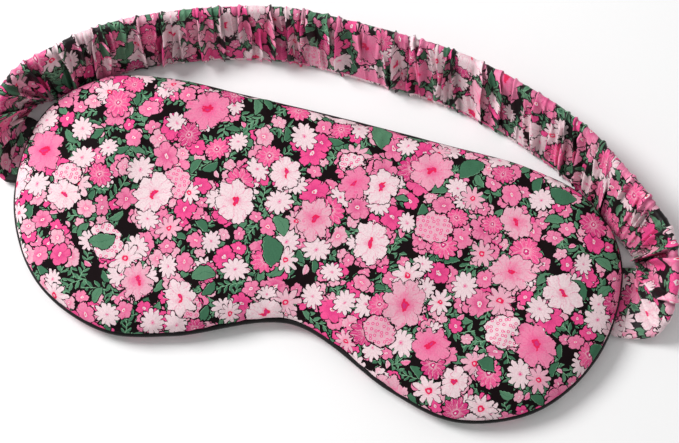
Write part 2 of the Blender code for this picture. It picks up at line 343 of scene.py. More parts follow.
def curve_through(knots, per_span, closed):
    """A smooth curve through the knots, which may have any number of values each."""
    points = np.array(knots, float)
    count = len(points)
    made = []
    for i in range(count if closed else count - 1):
        if closed:
            a, b, c, d = (points[(i + k) % count] for k in (-1, 0, 1, 2))
        else:
            a, b, c, d = (points[min(max(i + k, 0), count - 1)] for k in (-1, 0, 1, 2))
        for step in range(per_span):
            t = step / per_span
            curve = 2 * b + (c - a) * t + (2 * a - 5 * b + 4 * c - d) * t**2
            made.append(0.5 * (curve + (3 * b - a - 3 * c + d) * t**3))
    if not closed:
        made.append(points[-1])
    return np.array(made)


def resample(points, count, closed):
    """Points the same distance apart, by the first three values of each, or the first two of flat ones."""
    places = points[:, : min(3, points.shape[1])]
    ring = np.vstack([points, points[:1]]) if closed else points
    spots = np.vstack([places, places[:1]]) if closed else places
    run = np.concatenate([[0.0], np.cumsum(np.linalg.norm(np.diff(spots, axis=0), axis=1))])
    wanted = np.linspace(0.0, run[-1], count, endpoint=not closed)
    return np.column_stack([np.interp(wanted, run, ring[:, k]) for k in range(ring.shape[1])])


def outline(count):
    """The piping's centre line: a closed, smooth, symmetric curve of the mask's length and height."""
    half = [(x * HALF_LENGTH, y * MASK_HEIGHT) for x, y in HALF_OUTLINE]
    mirrored = [(-x, y) for x, y in half[-2:0:-1]]
    curve = curve_through(half + mirrored, 48, closed=True)
    low, high = curve.min(axis=0), curve.max(axis=0)
    curve[:, 0] *= (MASK_LENGTH - PIPING_DIAMETER) / (high[0] - low[0])
    curve[:, 1] *= (MASK_HEIGHT - PIPING_DIAMETER) / (high[1] - low[1])
    return resample(curve, count, closed=True)


def outward(points):
    """Unit normals of a closed flat outline that runs clockwise."""
    along = np.roll(points, -1, axis=0) - np.roll(points, 1, axis=0)
    normals = np.column_stack([-along[:, 1], along[:, 0]])
    return normals / np.linalg.norm(normals, axis=1)[:, None]


EDGE_COUNT = 600
EDGE = outline(EDGE_COUNT)
EDGE_OUT = outward(EDGE)
EDGE_LENGTH = np.linalg.norm(np.roll(EDGE, -1, axis=0) - EDGE, axis=1).sum()


def nearest_on_edge(points):
    """How far each point lies inside the piping's centre line, which way is out, and how far round it is."""
    starts, run = EDGE, np.roll(EDGE, -1, axis=0) - EDGE
    deep, out, around = [], [], []
    for few in np.array_split(points, max(1, len(points) // CHUNK)):
        offset = few[:, None, :] - starts[None, :, :]
        share = np.clip((offset * run).sum(axis=2) / (run * run).sum(axis=1), 0.0, 1.0)
        away = np.linalg.norm(offset - run * share[:, :, None], axis=2)
        best = away.argmin(axis=1)
        rows = np.arange(len(few))
        part = share[rows, best][:, None]
        normal = EDGE_OUT[best] * (1 - part) + EDGE_OUT[(best + 1) % EDGE_COUNT] * part
        deep.append(away[rows, best])
        out.append(normal / np.linalg.norm(normal, axis=1)[:, None])
        around.append((best + part[:, 0]) / EDGE_COUNT)
    return np.concatenate(deep), np.vstack(out), np.concatenate(around)


def is_inside(points):
    """Whether each point lies inside the piping's centre line, by the edges that a ray along +X crosses."""
    found = []
    ax, ay = EDGE[:, 0], EDGE[:, 1]
    bx, by = np.roll(ax, -1), np.roll(ay, -1)
    for few in np.array_split(points, max(1, len(points) // CHUNK)):
        x, y = few[:, 0:1], few[:, 1:2]
        crosses = (ay > y) != (by > y)
        meets = ax + (bx - ax) * (y - ay) / np.where(by == ay, 1.0, by - ay)
        found.append((crosses & (x < meets)).sum(axis=1) % 2 == 1)
    return np.concatenate(found)


def strap_slot(points):
    """1 where a strap end passes through the seam, falling to 0 along the edge on both sides of it."""
    away = np.abs(points[:, 1] - STRAP_END_Y) - STRAP_WIDTH / 2
    near_side = np.abs(points[:, 0]) > HALF_LENGTH * 0.5
    return (1 - smooth_step(1.5 * MM, 9 * MM, away)) * near_side


def flat_pattern(depths, pitch, ring_count):
    """Flat places and triangles of a panel: rings at the given depths inside the edge, then an even field."""
    ring_edge = resample(EDGE, ring_count, closed=True)
    ring_out = outward(ring_edge)
    rings = [ring_edge - ring_out * depth for depth in depths]
    rows = np.arange(-MASK_HEIGHT, MASK_HEIGHT, pitch * math.sqrt(3) / 2)
    columns = np.arange(-HALF_LENGTH, HALF_LENGTH, pitch)
    field = np.array([(x + pitch / 2 * (i % 2), y) for i, y in enumerate(rows) for x in columns])
    field = field[is_inside(field)]
    field = field[nearest_on_edge(field)[0] > depths[-1] + pitch * 0.7]
    places = np.vstack([*rings, field])
    edges = [(i, (i + 1) % ring_count) for i in range(ring_count)]
    made = delaunay_2d_cdt([Vector(p) for p in places], edges, [], 1, 1e-8)
    return places, [tuple(t) for t in made[2]]


def slow_noise(points, size, seed):
    """Smooth unevenness between about -1 and 1, with lumps of the given size, from a few fixed waves."""
    rng = np.random.default_rng(seed)
    total = np.zeros(len(points))
    for _ in range(14):
        angle, phase = rng.uniform(0, 2 * math.pi, 2)
        wave = 2 * math.pi / (size * rng.uniform(0.7, 1.6))
        total += np.sin((points[:, 0] * math.cos(angle) + points[:, 1] * math.sin(angle)) * wave + phase)
    return total / 4.0


def edge_puckers(around, depth, seed):
    """Small creases that run inwards from the seam, from 0 to about 1."""
    rng = np.random.default_rng(seed)
    spots = rng.uniform(0, 1, 110)
    total = np.zeros(len(around))
    for spot in spots:
        width = rng.uniform(0.9, 2.0) * MM / EDGE_LENGTH
        reach = rng.uniform(3.0, 9.0) * MM
        height = rng.uniform(0.3, 1.0)
        away = np.abs((around - spot + 0.5) % 1.0 - 0.5)
        total += height * np.exp(-((away / width) ** 2)) * np.exp(-((depth - 2.5 * MM) ** 2) / reach**2)
    return total


# Objects


def add_object(name, data):
    """An object for the mesh, light or camera, in the scene's own collection."""
    thing = bpy.data.objects.new(name, data)
    bpy.context.scene.collection.objects.link(thing)
    return thing


def corner_points(mesh):
    """Which point each corner of each face stands on."""
    corner = np.zeros(len(mesh.loops), np.int32)
    mesh.loops.foreach_get("vertex_index", corner)
    return corner


def set_cloth_map(mesh, places):
    """The flat cloth's own coordinates at each corner of each face, in metres, as a UV map."""
    layer = mesh.uv_layers.new(name="cloth")
    layer.data.foreach_set("uv", np.asarray(places, np.float32).ravel())


def add_piece(name, vertices, faces, finish, flat=None):
    """A mesh object with its place in its mesh, and the flat place of each point where it is cloth."""
    mesh = bpy.data.meshes.new(name)
    mesh.from_pydata([tuple(v) for v in vertices], [], [tuple(f) for f in faces])
    mesh.update()
    if flat is not None:
        set_cloth_map(mesh, np.asarray(flat, np.float32)[corner_points(mesh)])
    mesh.materials.append(finish)
    mesh.shade_smooth()
    return add_object(name, mesh)


def settle(thing):
    """Applies a piece's modifiers, so that its final mesh is plain."""
    evaluated = thing.evaluated_get(bpy.context.evaluated_depsgraph_get())
    mesh = bpy.data.meshes.new_from_object(evaluated)
    mesh.name = thing.name
    thing.modifiers.clear()
    thing.data = mesh
    return thing


def give_thickness(thing, thickness):
    """Makes a sheet as thick as its cloth, on its inner side."""
    solid = thing.modifiers.new("cloth", "SOLIDIFY")
    solid.thickness = thickness
    solid.offset = -1.0
    return thing


def sweep_faces(rings, count, closed_ends=False, wrap=False):
    """Quads between sections that lie one after another."""
    faces = []
    for i in range(rings if wrap else rings - 1):
        here, there = i * count, (i + 1) % rings * count
        for j in range(count):
            k = (j + 1) % count
            faces.append((here + j, here + k, there + k, there + j))
    if closed_ends:
        faces.append(tuple(range(count - 1, -1, -1)))
        faces.append(tuple((rings - 1) * count + j for j in range(count)))
    return faces


# Materials


class Sketch:
    """Adds shader nodes to a tree, one call each, and joins them up."""

    def __init__(self, tree):
        self.tree = tree

    def put(self, socket, value):
        if isinstance(value, bpy.types.NodeSocket):
            self.tree.links.new(value, socket)
        elif hasattr(value, "__len__") and len(value) == 3 and socket.type == "RGBA":
            socket.default_value = (*value, 1.0)
        else:
            socket.default_value = value

    def node(self, kind, inputs=(), **settings):
        made = self.tree.nodes.new(kind)
        for name, value in settings.items():
            setattr(made, name, value)
        for key, value in dict(inputs).items():
            self.put(made.inputs[key], value)
        return made

    def calc(self, operation, *values):
        return self.node("ShaderNodeMath", enumerate(values), operation=operation).outputs[0]

    add = partialmethod(calc, "ADD")
    sub = partialmethod(calc, "SUBTRACT")
    mul = partialmethod(calc, "MULTIPLY")
    div = partialmethod(calc, "DIVIDE")
    below = partialmethod(calc, "LESS_THAN")
    above = partialmethod(calc, "GREATER_THAN")
    distance = partialmethod(calc, "ABSOLUTE")

    def vector(self, operation, *values):
        return self.node("ShaderNodeVectorMath", enumerate(values), operation=operation).outputs[0]

    def scaled(self, vector, amount):
        return self.node("ShaderNodeVectorMath", {0: vector, "Scale": amount}, operation="SCALE").outputs[0]

    def mix(self, factor, first, second):
        made = self.node("ShaderNodeMix", {"Factor": factor, 6: first, 7: second}, data_type="RGBA")
        return made.outputs[2]

    def step(self, low, high, value):
        inputs = {"Value": value, "From Min": low, "From Max": high}
        return self.node("ShaderNodeMapRange", inputs, interpolation_type="SMOOTHSTEP").outputs["Result"]

    def noise(self, place, scale, detail, **more):
        inputs = {"Vector": place, "Scale": scale, "Detail": detail, **more}
        return self.node("ShaderNodeTexNoise", inputs, noise_dimensions="2D")

    def cells(self, place, scale, randomness):
        inputs = {"Vector": place, "Scale": scale, "Randomness": randomness}
        return self.node("ShaderNodeTexVoronoi", inputs, voronoi_dimensions="2D")

    def bump(self, height, distance):
        inputs = {"Height": height, "Strength": 1.0, "Distance": distance}
        return self.node("ShaderNodeBump", inputs).outputs[0]

    def split(self, vector):
        made = self.node("ShaderNodeSeparateXYZ", {"Vector": vector})
        return made.outputs["X"], made.outputs["Y"], made.outputs["Z"]

    def join(self, x, y, z=0.0):
        return self.node("ShaderNodeCombineXYZ", {"X": x, "Y": y, "Z": z}).outputs[0]


def new_group(name, inputs, outputs):
    """An empty shader group, its sketch, and the sockets at its start and its end."""
    group = bpy.data.node_groups.new(name, "ShaderNodeTree")
    for label, kind in inputs:
        group.interface.new_socket(label, in_out="INPUT", socket_type=kind)
    for label, kind in outputs:
        group.interface.new_socket(label, in_out="OUTPUT", socket_type=kind)
    sketch = Sketch(group)
    start = group.nodes.new("NodeGroupInput")
    end = group.nodes.new("NodeGroupOutput")
    return group, sketch, start.outputs, end.inputs


FLOAT, VECTOR, COLOUR = "NodeSocketFloat", "NodeSocketVector", "NodeSocketColor"

# The print's fine lines and spots
FLOWER_OUTLINE = 0.45 * MM
LEAF_OUTLINE = 0.40 * MM
LEAF_EDGE = 0.14 * MM
LEAF_RIB = 0.07 * MM
SPRIG_EDGE = 0.16 * MM
SPRIG_STEM = 0.11 * MM
SPOTS_PER_METRE = 560.0
# The petals' spots and their open middles, as shares of the distance between them
SPOT_SIZE, SPOT_HOLLOW = 0.30, 0.16
# The size of the smallest flowers and leaves against the usual one, and how much chance adds to it
FLOWER_GROWTH = (0.78, 0.44)
LEAF_GROWTH = (0.75, 0.5)
# How far a flower is drawn out one way, and how strongly veins, gaps and throat colour its petals
FLOWER_STRETCH = 0.10
VEIN_STRENGTH, GAP_STRENGTH, THROAT_STRENGTH = 0.55, 0.75, 0.9
# The eye, as a share of the flower's centre
EYE_SHARE = 0.42
# How far apart two neighbouring layers are cut from the same pattern, in metres
LAYER_SHIFT = (0.731, 1.37)
# A sprig's bend, as height over the square of its run, and its leaves' length and half width
SPRIG_BEND = 28.0
SPRIG_LEAF_LENGTH = 1.3
SPRIG_LEAF_WIDTH = 0.175
# The silk's weave, the satin's slanting threads, and the sheen of both
SILK_THREADS_PER_METRE = 2600.0
SATIN_THREADS_PER_METRE = 2200.0
SHEEN_ROUGHNESS = 0.4


def scatter(sketch, ins):
    """The place seen from the nearest of many scattered centres, turned by chance, with three chances."""
    place = sketch.vector("ADD", ins["Place"], ins["Offset"])
    fineness = sketch.div(1.9, ins["Size"])
    wave = sketch.noise(place, fineness, 3.5, Roughness=0.62)
    sway = sketch.vector("SUBTRACT", wave.outputs["Color"], (0.5, 0.5, 0.5))
    place = sketch.vector("ADD", place, sketch.scaled(sway, ins["Wobble"]))
    cells = sketch.cells(place, sketch.div(1.0, ins["Cell"]), 0.8)
    chances = sketch.split(cells.outputs["Color"])
    x, y, _ = sketch.split(sketch.vector("SUBTRACT", place, cells.outputs["Position"]))
    turn = sketch.mul(chances[0], 2 * math.pi)
    cos, sin = sketch.calc("COSINE", turn), sketch.calc("SINE", turn)
    u = sketch.add(sketch.mul(x, cos), sketch.mul(y, sin))
    v = sketch.sub(sketch.mul(y, cos), sketch.mul(x, sin))
    lot = sketch.calc("FRACT", sketch.add(sketch.mul(chances[0], 13.7), chances[1]))
    shown = sketch.below(lot, ins["Presence"])
    return u, v, chances, shown


COMMON = (
    ("Place", VECTOR),
    ("Offset", VECTOR),
    ("Wobble", FLOAT),
    ("Cell", FLOAT),
    ("Presence", FLOAT),
    ("Size", FLOAT),
    ("Below", COLOUR),
)


def flower_group():
    """One layer of flowers over the colour below: petals, a throat, veins, a centre and a thin outline."""
    inputs = COMMON + (
        ("Petals", FLOAT),
        ("Cut", FLOAT),
        ("Roundness", FLOAT),
        ("Petal", COLOUR),
        ("Other Petal", COLOUR),
        ("Throat", COLOUR),
        ("Throat Reach", FLOAT),
        ("Centre", COLOUR),
        ("Centre Size", FLOAT),
        ("Centre Squeeze", FLOAT),
        ("Eye", COLOUR),
        ("Outline", COLOUR),
        ("Spots", FLOAT),
    )
    group, s, ins, outs = new_group("flower_layer", inputs, (("Colour", COLOUR),))
    u, v, chances, shown = scatter(s, ins)
    radius = s.calc("SQRT", s.add(s.mul(u, u), s.mul(v, v)))
    angle = s.calc("ARCTAN2", v, u)
    half_turn = s.mul(angle, s.div(ins["Petals"], 2.0))
    lobe = s.distance(s.calc("COSINE", half_turn))
    lobe_shape = s.calc("POWER", lobe, ins["Roundness"])
    reach = s.add(s.sub(1.0, ins["Cut"]), s.mul(ins["Cut"], lobe_shape))
    grown = s.add(FLOWER_GROWTH[0], s.mul(chances[1], FLOWER_GROWTH[1]))
    size = s.mul(ins["Size"], grown)
    squash = s.add(1.0, s.mul(s.calc("COSINE", s.mul(angle, 2.0)), FLOWER_STRETCH))
    rim = s.mul(s.mul(size, reach), squash)
    share = s.div(radius, size)
    petal = s.mix(s.step(0.45, 0.55, chances[2]), ins["Petal"], ins["Other Petal"])
    vein_place = s.join(s.mul(angle, s.mul(ins["Petals"], 0.9)), share)
    vein = s.noise(vein_place, 1.6, 2.0)
    veined = s.mul(s.step(0.50, 0.75, vein.outputs["Fac"]), VEIN_STRENGTH)
    petal = s.mix(veined, petal, ins["Throat"])
    gap_line = s.mul(s.sub(1.0, s.step(0.03, 0.16, lobe)), s.step(0.25, 0.5, share))
    petal = s.mix(s.mul(gap_line, GAP_STRENGTH), petal, ins["Throat"])
    throat = s.sub(1.0, s.step(0.0, ins["Throat Reach"], share))
    petal = s.mix(s.mul(throat, THROAT_STRENGTH), petal, ins["Throat"])
    speck = s.cells(ins["Place"], SPOTS_PER_METRE, 0.6)
    dotted = s.mul(s.below(speck.outputs["Distance"], SPOT_SIZE), ins["Spots"])
    hollow = s.mul(s.below(speck.outputs["Distance"], SPOT_HOLLOW), ins["Spots"])
    petal = s.mix(s.sub(dotted, hollow), petal, ins["Centre"])
    wide = s.mul(v, ins["Centre Squeeze"])
    middle = s.calc("SQRT", s.add(s.mul(u, u), s.mul(wide, wide)))
    middle = s.div(middle, s.mul(size, ins["Centre Size"]))
    petal = s.mix(s.below(middle, 1.0), petal, ins["Centre"])
    petal = s.mix(s.below(middle, EYE_SHARE), petal, ins["Eye"])
    inside = s.below(radius, rim)
    edge = s.below(radius, s.add(rim, FLOWER_OUTLINE))
    flower = s.mix(inside, ins["Outline"], petal)
    s.put(outs["Colour"], s.mix(s.mul(edge, shown), ins["Below"], flower))
    return group


def leaf_group():
    """One layer of single leaves or buds: an oval with pointed ends, a midrib and a pale edge."""
    inputs = COMMON + (
        ("Slimness", FLOAT),
        ("Leaf", COLOUR),
        ("Other Leaf", COLOUR),
        ("Rib", COLOUR),
        ("Edge", COLOUR),
        ("Outline", COLOUR),
    )
    group, s, ins, outs = new_group("leaf_layer", inputs, (("Colour", COLOUR),))
    u, v, chances, shown = scatter(s, ins)
    size = s.mul(ins["Size"], s.add(LEAF_GROWTH[0], s.mul(chances[1], LEAF_GROWTH[1])))
    along = s.div(u, size)
    bend = s.mul(s.mul(along, along), s.mul(size, 0.25))
    across = s.distance(s.sub(v, bend))
    full = s.calc("MAXIMUM", s.sub(1.0, s.mul(along, along)), 0.0)
    width = s.mul(s.mul(size, ins["Slimness"]), s.calc("POWER", full, 0.8))
    inside = s.below(across, width)
    edge = s.below(across, s.add(width, LEAF_OUTLINE))
    edge = s.mul(edge, s.below(s.distance(along), 1.08))
    leaf = s.mix(s.step(0.45, 0.55, chances[2]), ins["Leaf"], ins["Other Leaf"])
    lit = s.above(across, s.sub(width, LEAF_EDGE))
    lit = s.mul(lit, s.above(s.sub(v, bend), 0.0))
    leaf = s.mix(lit, leaf, ins["Edge"])
    leaf = s.mix(s.below(across, LEAF_RIB), leaf, ins["Rib"])
    leaf = s.mix(inside, ins["Outline"], leaf)
    s.put(outs["Colour"], s.mix(s.mul(edge, shown), ins["Below"], leaf))
    return group


def sprig_group():
    """One layer of sprigs: a thin curved stem with slim leaves in pairs along it."""
    inputs = COMMON + (("Pitch", FLOAT), ("Leaf", COLOUR), ("Other Leaf", COLOUR), ("Stem", COLOUR))
    group, s, ins, outs = new_group("sprig_layer", inputs, (("Colour", COLOUR),))
    u, v, chances, shown = scatter(s, ins)
    curve = s.mul(s.mul(u, u), SPRIG_BEND)
    side = s.sub(v, curve)
    across = s.distance(side)
    shift = s.mul(s.above(side, 0.0), s.mul(ins["Pitch"], 0.5))
    slot = s.div(s.add(u, shift), ins["Pitch"])
    run = s.mul(s.calc("FRACT", slot), ins["Pitch"])
    slant = math.sqrt(0.5)
    along = s.mul(s.add(run, across), slant)
    offset = s.mul(s.sub(run, across), slant)
    length = s.mul(ins["Pitch"], SPRIG_LEAF_LENGTH)
    share = s.sub(s.mul(s.div(along, length), 2.0), 1.0)
    full = s.calc("MAXIMUM", s.sub(1.0, s.mul(share, share)), 0.0)
    width = s.mul(s.mul(length, SPRIG_LEAF_WIDTH), full)
    apart = s.distance(offset)
    leaf_mask = s.below(apart, width)
    leaf = s.mix(s.step(0.4, 0.6, chances[2]), ins["Leaf"], ins["Other Leaf"])
    lit = s.above(offset, s.sub(width, SPRIG_EDGE))
    leaf = s.mix(lit, leaf, ins["Stem"])
    within = s.below(s.distance(u), ins["Size"])
    stem = s.below(across, SPRIG_STEM)
    colour = s.mix(stem, leaf, ins["Stem"])
    mask = s.mul(s.calc("MAXIMUM", leaf_mask, stem), s.mul(within, shown))
    s.put(outs["Colour"], s.mix(mask, ins["Below"], colour))
    return group


def flower_print(sketch, place, settings):
    """The whole print: sprigs, leaves, buds and flowers, each layer over the one before."""
    flowers, leaves, sprigs = (bpy.data.node_groups[f"{kind}_layer"] for kind in ("flower", "leaf", "sprig"))
    ground, green, hot_pink = tuple(settings.ground), tuple(settings.green), tuple(settings.hot_pink)
    place = sketch.scaled(place, 1.0 / settings.scale)
    state = {"colour": ground, "count": 0}

    def lay(group, cell, size, presence, wobble, **more):
        state["count"] += 1
        layer = sketch.tree.nodes.new("ShaderNodeGroup")
        layer.node_tree = group
        values = {
            "Place": place,
            "Offset": (LAYER_SHIFT[0] * state["count"], LAYER_SHIFT[1] * state["count"], 0.0),
            "Wobble": wobble * MM,
            "Cell": cell * MM,
            "Size": size * MM,
            "Presence": presence,
            "Below": state["colour"],
        }
        for name, value in {**values, **more}.items():
            sketch.put(layer.inputs[name], value)
        state["colour"] = layer.outputs["Colour"]

    def blossom(*values, spots=0.0):
        names = ("Petals", "Cut", "Roundness", "Petal", "Other Petal", "Throat", "Throat Reach")
        names += ("Centre", "Centre Size", "Centre Squeeze", "Eye")
        return {**dict(zip(names, values, strict=True)), "Spots": spots, "Outline": ground}

    foliage = {"Leaf": green, "Other Leaf": DARK_GREEN}
    plain_leaf = {**foliage, "Rib": DARK_GREEN, "Edge": LIGHT_GREEN, "Outline": ground}
    bud = {"Leaf": MID_PINK, "Other Leaf": PALE_PINK, "Rib": hot_pink, "Edge": OFF_WHITE, "Outline": ground}
    # The number of petals, how deep the cuts between them go and how round they are, their two colours, the
    # throat and its reach, the centre with its size and squeeze, and the eye
    small_pale = blossom(5, 0.40, 0.55, PALE_PINK, MID_PINK, hot_pink, 0.45, OFF_WHITE, 0.20, 1.0, DEEP_PINK)
    small_hot = blossom(5, 0.40, 0.50, hot_pink, MID_PINK, DEEP_PINK, 0.50, OFF_WHITE, 0.24, 1.3, hot_pink)
    middle = blossom(5, 0.34, 0.45, MID_PINK, PALE_PINK, hot_pink, 0.60, OFF_WHITE, 0.22, 1.5, CRIMSON)
    hot_flower = blossom(6, 0.38, 0.50, hot_pink, MID_PINK, DEEP_PINK, 0.65, OFF_WHITE, 0.20, 1.6, CRIMSON)
    daisy = blossom(11, 0.42, 0.80, OFF_WHITE, OFF_WHITE, PALE_PINK, 0.25, PALE_PINK, 0.18, 1.2, hot_pink)
    star = blossom(9, 0.55, 1.00, PALE_PINK, OFF_WHITE, MID_PINK, 0.40, CRIMSON, 0.20, 1.0, PALE_PINK)
    hot_daisy = blossom(12, 0.30, 0.70, hot_pink, DEEP_PINK, OFF_WHITE, 0.45, DEEP_PINK, 0.20, 1.0, OFF_WHITE)
    spotted = blossom(
        7, 0.16, 0.60, OFF_WHITE, PALE_PINK, PALE_PINK, 0.10, hot_pink, 0.05, 1.0, hot_pink, spots=1.0
    )
    pale_bloom = blossom(7, 0.30, 0.50, OFF_WHITE, OFF_WHITE, MID_PINK, 0.42, CRIMSON, 0.26, 2.0, DEEP_PINK)
    pink_bloom = blossom(8, 0.32, 0.50, PALE_PINK, MID_PINK, hot_pink, 0.62, CRIMSON, 0.26, 1.8, DEEP_PINK)

    # The distance between centres and the size, in millimetres, the share of them that shows, and how far the
    # shapes sway, in millimetres
    lay(sprigs, 12.0, 6.2, 1.0, 1.2, Pitch=2.5 * MM, Stem=LIGHT_GREEN, **foliage)
    lay(sprigs, 9.5, 5.0, 1.0, 1.2, Pitch=2.1 * MM, Stem=LIGHT_GREEN, **foliage)
    lay(sprigs, 10.0, 4.2, 0.30, 1.0, Pitch=2.8 * MM, Stem=LIGHT_GREEN, **foliage)
    lay(leaves, 7.0, 2.9, 0.38, 1.0, Slimness=0.42, **plain_leaf)
    lay(leaves, 7.0, 1.5, 0.50, 0.6, Slimness=0.55, **bud)
    lay(flowers, 7.0, 2.35, 0.42, 1.2, **small_pale)
    lay(flowers, 7.2, 2.50, 0.57, 1.2, **small_hot)
    lay(leaves, 10.5, 2.9, 0.48, 1.0, Slimness=0.46, **plain_leaf)
    lay(flowers, 9.8, 3.3, 0.50, 1.6, **middle)
    lay(flowers, 12.5, 4.3, 0.46, 2.2, **hot_flower)
    lay(flowers, 12.5, 4.1, 0.68, 1.6, **daisy)
    lay(flowers, 19.0, 4.7, 0.50, 1.6, **star)
    lay(flowers, 20.0, 4.4, 0.70, 1.6, **hot_daisy)
    lay(flowers, 32.0, 5.6, 0.45, 2.4, **spotted)
    lay(leaves, 26.0, 4.6, 0.45, 2.0, Slimness=0.60, **plain_leaf)
    lay(flowers, 25.0, 6.3, 0.42, 4.0, **pale_bloom)
    lay(flowers, 27.0, 6.6, 0.40, 4.4, **pink_bloom)
    return state["colour"]


def start_material(name, roughness, specular=0.5, sheen=0.0):
    """A material with its gloss set, its shader, and a sketch for the rest of its nodes."""
    made = bpy.data.materials.new(name)
    made.use_nodes = True
    shader = made.node_tree.nodes["Principled BSDF"]
    shader.inputs["Roughness"].default_value = roughness
    shader.inputs["Specular IOR Level"].default_value = specular
    shader.inputs["Sheen Weight"].default_value = sheen
    shader.inputs["Sheen Roughness"].default_value = SHEEN_ROUGHNESS
    return made, shader, Sketch(made.node_tree)


def weave(sketch, place, threads_per_metre, height):
    """A plain weave's bump: two sets of threads that cross."""
    x, y, _ = sketch.split(place)
    turn = 2 * math.pi * threads_per_metre
    warp = sketch.calc("SINE", sketch.mul(x, turn))
    weft = sketch.calc("SINE", sketch.mul(y, turn))
    cloth = sketch.mul(warp, weft)
    return sketch.bump(cloth, height)


def silk_material(name, settings, roughness, specular, sheen, anisotropy, fold_shade=0.0):
    """Printed silk satin: the flower print, a fine speckle, a weave, a soft sheen, and where fold_shade is
    set, painted shade and painted highlight along the folds.
    """
    made, shader, s = start_material(name, roughness, specular, sheen)
    shader.inputs["Anisotropic"].default_value = anisotropy
    place = s.node("ShaderNodeUVMap", uv_map="cloth").outputs[0]
    colour = flower_print(s, place, settings)
    grain = s.noise(place, 1700.0, 2.0)
    shade = s.add(0.84, s.mul(grain.outputs["Fac"], 0.32))
    # Painted shade and painted highlight of the folds, read from the mesh, darken and lighten the print
    if fold_shade:
        depth = s.node("ShaderNodeAttribute", attribute_name="fold_painted_light").outputs["Fac"]
        shade = s.mul(shade, s.sub(1.0, s.mul(depth, fold_shade)))
    colour = s.vector("MULTIPLY", colour, s.join(shade, shade, shade))
    s.put(shader.inputs["Base Color"], colour)
    s.put(shader.inputs["Normal"], weave(s, place, SILK_THREADS_PER_METRE, 0.02 * MM))
    return made


def satin_material():
    """Black satin: slanting threads, and a tone that varies a little as it wears."""
    made, shader, s = start_material("black_satin_weave", 0.36, 0.22, 0.02)
    place = s.node("ShaderNodeUVMap", uv_map="cloth").outputs[0]
    x, y, _ = s.split(place)
    slant = s.add(x, y)
    threads = s.calc("SINE", s.mul(slant, 2 * math.pi * SATIN_THREADS_PER_METRE))
    wear = s.noise(place, 350.0, 4.0)
    tone = s.mix(wear.outputs["Fac"], (0.0035, 0.003, 0.0035), (0.011, 0.009, 0.010))
    s.put(shader.inputs["Base Color"], tone)
    s.put(shader.inputs["Normal"], s.bump(threads, 0.015 * MM))
    return made


def object_material(name, dark, light, roughness, threads, height):
    """A plain material on object coordinates: two tones by a fibrous noise, and a fine weave."""
    made, shader, s = start_material(name, roughness, 0.3, 0.2)
    place = s.node("ShaderNodeTexCoord").outputs["Object"]
    fibres = s.node("ShaderNodeTexNoise", {"Vector": place, "Scale": 900.0, "Detail": 5.0, "Roughness": 0.65})
    s.put(shader.inputs["Base Color"], s.mix(fibres.outputs["Fac"], dark, light))
    s.put(shader.inputs["Normal"], weave(s, place, threads, height))
    return made


# Two tones, roughness, threads in a metre and height of the weave
PLAIN_FINISHES = {
    "wadding_fibres": ((0.66, 0.66, 0.63), (0.90, 0.90, 0.88), 0.95, 500.0, 0.05 * MM),
    "black_cotton_weave": ((0.012, 0.012, 0.013), (0.03, 0.03, 0.032), 0.85, 1400.0, 0.03 * MM),
    "cotton_cord_twist": ((0.62, 0.60, 0.55), (0.86, 0.84, 0.80), 0.80, 2500.0, 0.02 * MM),
    "black_sewing_thread": ((0.010, 0.010, 0.011), (0.03, 0.03, 0.03), 0.50, 4000.0, 0.01 * MM),
    "white_woven_elastic": ((0.70, 0.69, 0.66), (0.90, 0.89, 0.86), 0.65, 1300.0, 0.05 * MM),
}


class SLEEPMASK_OT_materials(bpy.types.Operator):
    """Makes the printed silk, the satin and the other materials that the pieces take"""

    bl_idname = "sleep_mask.materials"
    bl_label = "Materials"

    def execute(self, context):
        settings = context.scene.sleep_mask_print
        flower_group()
        leaf_group()
        sprig_group()
        silk_material("printed_silk_panel", settings, 0.62, specular=0.06, sheen=0.01, anisotropy=0.0)
        silk_material(
            "printed_silk_gathered",
            settings,
            0.42,
            specular=0.28,
            sheen=0.02,
            anisotropy=0.3,
            # How strongly the folds' painted shade and highlight darken and lighten the gathered silk
            fold_shade=0.70,
        )
        satin_material()
        for name, values in PLAIN_FINISHES.items():
            object_material(name, *values)
        return {"FINISHED"}


# The mask


def swell(profile, depth):
    """How far inwards and above the seam the cloth at each depth comes to lie, and its depth unstretched."""
    curve = curve_through(profile, 12, closed=False) * MM
    inwards = np.interp(depth, curve[:, 0], curve[:, 1])
    inwards = np.where(depth > curve[-1, 0], depth, inwards)
    height = np.interp(depth, curve[:, 0], curve[:, 2])
    run = np.concatenate([[0.0], np.cumsum(np.linalg.norm(np.diff(curve[:, 1:], axis=0), axis=1))])
    cloth = np.interp(depth, curve[:, 0], run - run[-1] + curve[-1, 0])
    cloth = np.where(depth > curve[-1, 0], depth, cloth)
    return inwards, height, cloth


RING_DEPTHS = [d * MM for d in (1.15, 1.5, 1.95, 2.4, 2.9, 3.5, 4.3, 5.4, 6.8)]
PANEL_RING = 330
FILLING_RING = 300
# Where the back's print is cut from, against the face's
BACK_CUT = (0.31, 0.27)


